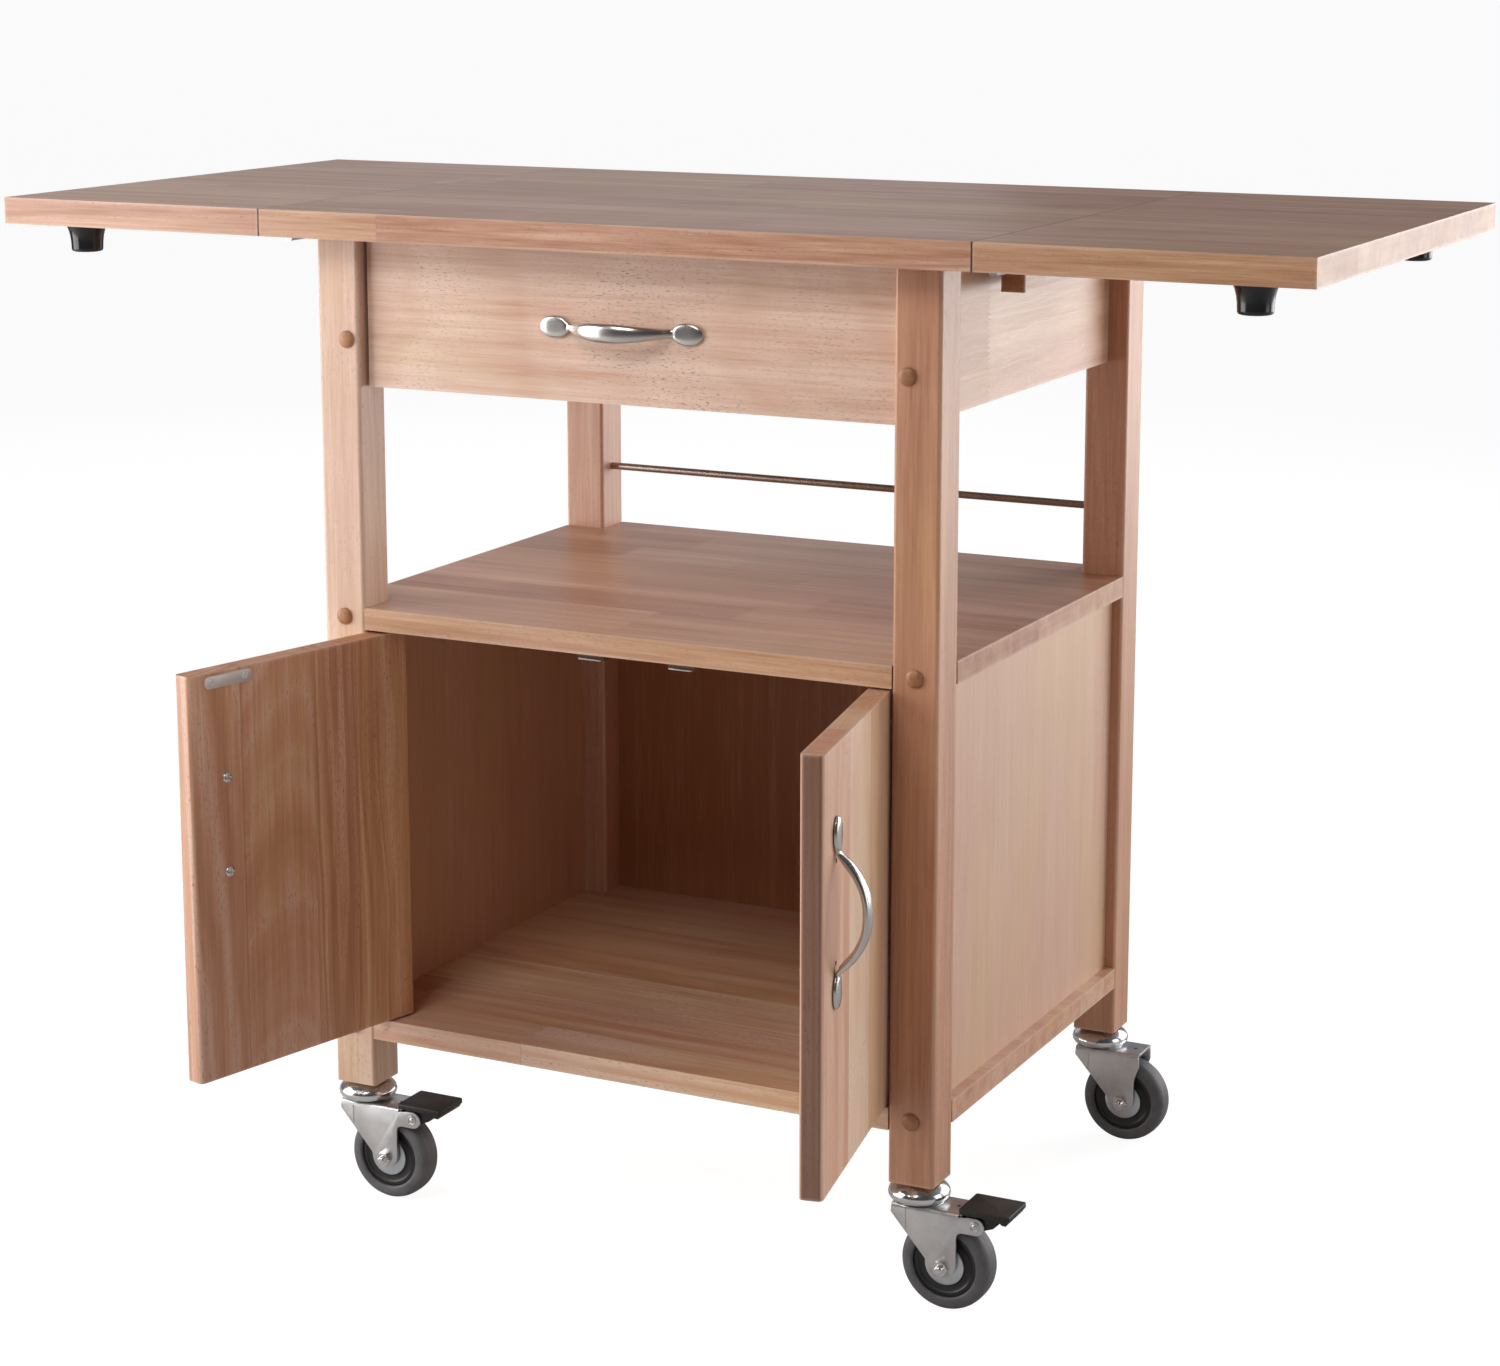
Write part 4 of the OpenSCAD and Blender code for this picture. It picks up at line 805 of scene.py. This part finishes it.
def hexHead(radius, height, chamfer):
    # the radius is the hexagon's, cut by a cone at the free end
    angle = np.linspace(0, 2 * np.pi, 72, endpoint=False)
    flat = radius * math.cos(math.pi / 6) / np.cos((angle % (np.pi / 3)) - np.pi / 6)
    level = np.array([0, height - chamfer, height - chamfer * 0.6, height - chamfer * 0.3, height])
    cone = radius * np.array([1.0, 1.0, 0.975, 0.94, 0.89])
    ring = np.minimum(flat[None], cone[:, None])
    points = np.stack([ring * np.cos(angle), ring * np.sin(angle), level[:, None] + 0 * angle], -1)
    return skin(points)


def threadedEnd(radius, low, high, pitch=1.1):
    # the radius falls and rises once in each pitch as it goes round, so the groove is a screw line
    level = np.linspace(low, high, int((high - low) / pitch * 8))
    angle = np.linspace(0, 2 * np.pi, 40, endpoint=False)
    phase = level[:, None] / pitch - angle / (2 * np.pi)
    ring = radius - 0.28 * (0.5 + 0.5 * np.cos(2 * np.pi * phase))
    ring = ring * np.clip(0.80 + 0.2 * (high - level[:, None]) / 0.7, 0, 1)
    return skin(np.stack([ring * np.cos(angle), ring * np.sin(angle), level[:, None] + 0 * angle], -1))


def pin(radius, half, sides):
    return spin([(0, -half), (radius, -half), (radius, half), (0, half)], sides)


def cheekOutline(brake):
    # straight sides down to a round foot about the axle, every corner an arc; with a brake the back edge reaches
    # out round the rivet
    top = caster["crown"] + caster["sheet"] - caster["bend"]
    left, right = caster["nose"], caster["trail"] + caster["tail"]
    if brake:
        x, z = caster["rivet"]
        corners = [(left, top), (left - 0.5, top - 5), (caster["trail"] - 12.2, 40.5),
                   (caster["trail"] - 10.4, 29.5), (caster["trail"] + 12, 29.5), (caster["trail"] + 12, z - 7.5),
                   (x + 7.5, z - 7.5), (x + 7.5, z + 6.6), (x - 4, z + 6.6), (right - 2, top)]
        return softCorners(corners, [1.0, 2.5, 10, 8.6, 11.5, 5.0, 7.2, 6.6, 5, 3], 9)
    corners = [(left, top), (left - 0.5, top - 5), (caster["trail"] - 12.2, 40.5), (caster["trail"] - 10.4, 29.5),
               (caster["trail"] + 12, 29.5), (caster["trail"] + 12, 60), (right, top - 10), (right, top)]
    return softCorners(corners, [1.0, 2.5, 10, 8.6, 11.5, 30, 4, 1.0], 9)


def forkShapes(brake):
    # two flat cheeks and a flat crown, joined by a quarter tube along each long edge of the crown
    inner, outer = caster["cheekInner"], caster["cheekInner"] + caster["sheet"]
    high, bend = caster["crown"] + caster["sheet"], caster["bend"]
    left, right = caster["nose"], caster["trail"] + caster["tail"]
    flat = outer - bend
    outline = cheekOutline(brake)
    shapes = []
    for s in (-1, 1):
        low, top = sorted((s * inner, s * outer))
        shapes.append(put(plate(outline, low, top, 0.5, 3), axes=onEdge))
        # the bend is a quarter of a tube carried along the crown's edge
        turn = np.linspace(0, np.pi / 2, 7)
        arcs = [np.stack([s * (outer - bend + r * np.cos(turn)), high - bend + r * np.sin(turn)], -1)
                for r in (bend, caster["bendInside"])]
        profile = np.concatenate([arcs[0], arcs[1][::-1]])
        span = np.array([-16.8, right - 2.2 if brake else right - 0.3])
        points = np.concatenate([np.broadcast_to(span[:, None, None], (2, len(profile), 1)),
                                 np.broadcast_to(profile, (2, *profile.shape))], -1)
        shapes.append(skin(points))
    crown = softCorners(rectangle(left, -flat, right, flat), 1.0, 4)
    shapes.append(plate(crown, caster["crown"], high, 0.35, 3))
    shapes.append(put(spin(caster["collar"], 48, ring=True), (0, 0, high - 0.55)))
    crease = softCorners(caster["crease"], 0.5, 4)
    for s in (-1, 1):
        low, top = sorted((s * (outer - 0.4), s * (outer + 0.3)))
        shapes.append(put(plate(crease, low, top, 0.28, 3), axes=onEdge))
    if brake:
        x, z = caster["rivet"]
        for s in (-1, 1):
            shapes.append(put(spin(caster["rivetHead"], 32), (x, s * outer, z), lookingOut(s)))
        shapes.append(put(pin(caster["rivetRadius"], outer, 24), (x, 0, z), lookingOut(1)))
    return shapes


def pedalShapes():
    # a wedge whose lower side is an arc about the rivet, a flat tread on it, and a lip under the tread's far end
    x, z = caster["rivet"]
    under = z + pedal["aboveRivet"]
    start = x - pedal["behindRivet"]
    half = caster["cheekInner"] - pedal["clear"]
    angle = np.radians(np.arange(150, 331, 12))
    hub = np.stack([x + pedal["hubRadius"] * np.cos(angle), z + pedal["hubRadius"] * np.sin(angle)], -1)
    wedge = np.concatenate([[(start + 4, under + 0.6)], hub,
                            [(x + 14, z - 0.5), (x + 20, under - 3.2), (x + 21.5, under + 0.6)]])
    shapes = [put(plate(wedge, -half, half, 0.7, 3), axes=onEdge)]
    tread = softCorners(rectangle(start, -pedal["half"], start + pedal["length"], pedal["half"]), 2.0, 5)
    shapes.append(plate(tread, under, under + pedal["thickness"], 0.9, 4))
    lip = softCorners([(x + 20, under + 1), (x + 22, under - 3.0), (x + 26, under - 3.4), (x + 28.6, under + 1)],
                      0.5, 3)
    shapes.append(put(plate(lip, -pedal["lipHalf"], pedal["lipHalf"], 0.5, 3), axes=onEdge))
    return shapes


housingShapes = []
for depth in ("front", "rear"):
    for side in ("left", "right"):
        corner = depth + "_" + side
        label = depth + side.capitalize()
        stem = middleOf("leg_" + corner) * (1, 1, 0)
        wheelAt = stem + (caster["trail"], 0, caster["axle"])
        turned, forward = lookingOut(1), lookingOut(-1)
        node = "caster_%s_" % corner
        housingShapes.append(put(spin(caster["housing"], 64), stem))
        brake = depth == "front"
        fork = [put(shape, stem) for shape in forkShapes(brake)]
        makePiece(label + "Fork", fork, finishes["zinc"], corner + "_caster", [node + "fork"])
        boreAt = stem + (caster["boreAt"], 0, caster["crown"] + caster["sheet"])
        makePiece(label + "ForkBore", [put(spin(caster["bore"], 24), boreAt)], finishes["hub"], corner + "_caster")
        makePiece(label + "Tyre", [put(spin(mirroredRing(caster["tyre"]), 96, ring=True), wheelAt, turned)],
                  finishes["rubber"], corner + "_wheel", [node + "tyre"], crease=40)
        makePiece(label + "Hub", [put(spin(mirroredRing(caster["hub"]), 72, ring=True), wheelAt, turned)],
                  finishes["hub"], corner + "_wheel", [node + "hub"])
        makePiece(label + "HubDiscs",
                  [put(spin(np.array(caster["disc"]) * (1, s), 64, ring=True), wheelAt, turned) for s in (-1, 1)],
                  finishes["disc"], corner + "_wheel")
        outer = caster["cheekInner"] + caster["sheet"]
        bolt = [put(pin(caster["boltRadius"], outer, 32), wheelAt, turned),
                put(hexHead(6.6, 4.2, 0.9), wheelAt + (0, -outer, 0), forward),
                put(threadedEnd(3.4, 4.0, 7.9), wheelAt + (0, -outer, 0), forward),
                put(hexHead(7, 5.0, 1.0), wheelAt + (0, outer, 0), turned)]
        makePiece(label + "Axle", bolt, finishes["bright"], corner + "_caster", [node + "axle"])
        if brake:
            makePiece(label + "Pedal", [put(shape, stem) for shape in pedalShapes()], finishes["black"],
                      corner + "_brake", [node + "pedal"])
makePiece("casterHousings", housingShapes, finishes["bright"], "frame", ["caster_housings"],
          crease=40)
print("casters made")

for node in ("frame_bolts", "door_pivot_pins", "top_hinge_flaps", "support_pivot_bolts", "leaf_left_hinge_flaps",
             "leaf_right_hinge_flaps"):
    dress(node, finishes["zinc"])
dress("rear_rod", finishes["rod"])


# studio

studio = {
    "skyFront": (0.065, 0.065, 0.07), "skyBack": (0.22, 0.225, 0.24), "backdrop": (1.0, 1.0, 1.0),
    "floor": (0.66, 0.65, 0.64), "floorSeen": (0.22, 0.22, 0.223), "floorLift": 0.92,
    "floorHalf": 60, "floorDrop": 0.0004,
    "softboxes": {
        "leftKey": {"place": (-1.95, -1.25, 0.9), "aim": (-0.1, -0.2, 0.5), "size": (1.8, 2.2), "power": 57,
                    "colour": (1.0, 0.98, 0.96)},
        "frontTop": {"place": (-0.1, -2.5, 2.7), "aim": (0.0, 0.0, 0.3), "size": (1.6, 1.2), "power": 34,
                     "colour": (1.0, 0.97, 0.94)},
        "backRight": {"place": (2.0, 2.6, 1.1), "aim": (0.2, 0.0, 0.5), "size": (2.6, 2.2), "power": 74,
                      "colour": (1.0, 0.985, 0.97)},
        "right": {"place": (3.2, 0.2, 1.0), "aim": (0.2, -0.1, 0.45), "size": (1.4, 1.8), "power": 17,
                  "colour": (1.0, 0.97, 0.95)},
        "backLeft": {"place": (-2.9, 3.4, 1.45), "aim": (-0.3, 0.0, 0.8), "size": (3.4, 1.7), "power": 6.5,
                     "colour": (0.96, 0.98, 1.0)},
    },
}


def softbox(name, spec):
    lamp = bpy.data.lights.new(name, "AREA")
    lamp.shape = "RECTANGLE"
    lamp.size, lamp.size_y = spec["size"]
    lamp.energy = spec["power"]
    lamp.color = spec["colour"]
    holder = bpy.data.objects.new(name, lamp)
    bpy.context.scene.collection.objects.link(holder)
    holder.location = spec["place"]
    holder.rotation_euler = (Vector(spec["aim"]) - Vector(spec["place"])).to_track_quat("-Z", "Y").to_euler()
    holder.visible_camera = False


for name, spec in studio["softboxes"].items():
    softbox(name, spec)

world = bpy.data.worlds.new("studio")
bpy.context.scene.world = world
world.use_nodes = True
tree = world.node_tree
tree.nodes.clear()
out = tree.nodes.new("ShaderNodeOutputWorld")
direction = tree.nodes.new("ShaderNodeSeparateXYZ")
tree.links.new(tree.nodes.new("ShaderNodeTexCoord").outputs["Generated"], direction.inputs[0])
lit = tree.nodes.new("ShaderNodeBackground")
tree.links.new(blendColour(tree, spread(tree, direction.outputs["Y"], -0.5, 0.8), studio["skyFront"],
                           studio["skyBack"]), lit.inputs[0])
# the camera sees a plain white backdrop; the cart is lit by the two soft tones
seen = tree.nodes.new("ShaderNodeBackground")
seen.inputs[0].default_value = (*studio["backdrop"], 1)
choose = tree.nodes.new("ShaderNodeMixShader")
rays = tree.nodes.new("ShaderNodeLightPath")
tree.links.new(rays.outputs["Is Camera Ray"], choose.inputs[0])
tree.links.new(lit.outputs[0], choose.inputs[1])
tree.links.new(seen.outputs[0], choose.inputs[2])
tree.links.new(choose.outputs[0], out.inputs[0])

floorMesh = bpy.data.meshes.new("floor")
edge = studio["floorHalf"]
floorMesh.from_pydata([(x, y, -studio["floorDrop"]) for x, y in rectangle(-edge, -edge, edge, edge)], [],
                      [(0, 1, 2, 3)])
floor = bpy.data.objects.new("floor", floorMesh)
bpy.context.scene.collection.objects.link(floor)
material, tree, shader = newMaterial("paleFloor")
rays = tree.nodes.new("ShaderNodeLightPath")
straight = rays.outputs["Is Camera Ray"]
tree.links.new(blendColour(tree, straight, studio["floor"], studio["floorSeen"]), shader.inputs["Base Color"])
shader.inputs["Roughness"].default_value = 0.8
shader.inputs["Specular IOR Level"].default_value = 0.1
shader.inputs["Emission Color"].default_value = (1, 1, 1, 1)
tree.links.new(calc(tree, "MULTIPLY", straight, studio["floorLift"]), shader.inputs["Emission Strength"])
floorMesh.materials.append(material)
print("studio lit")
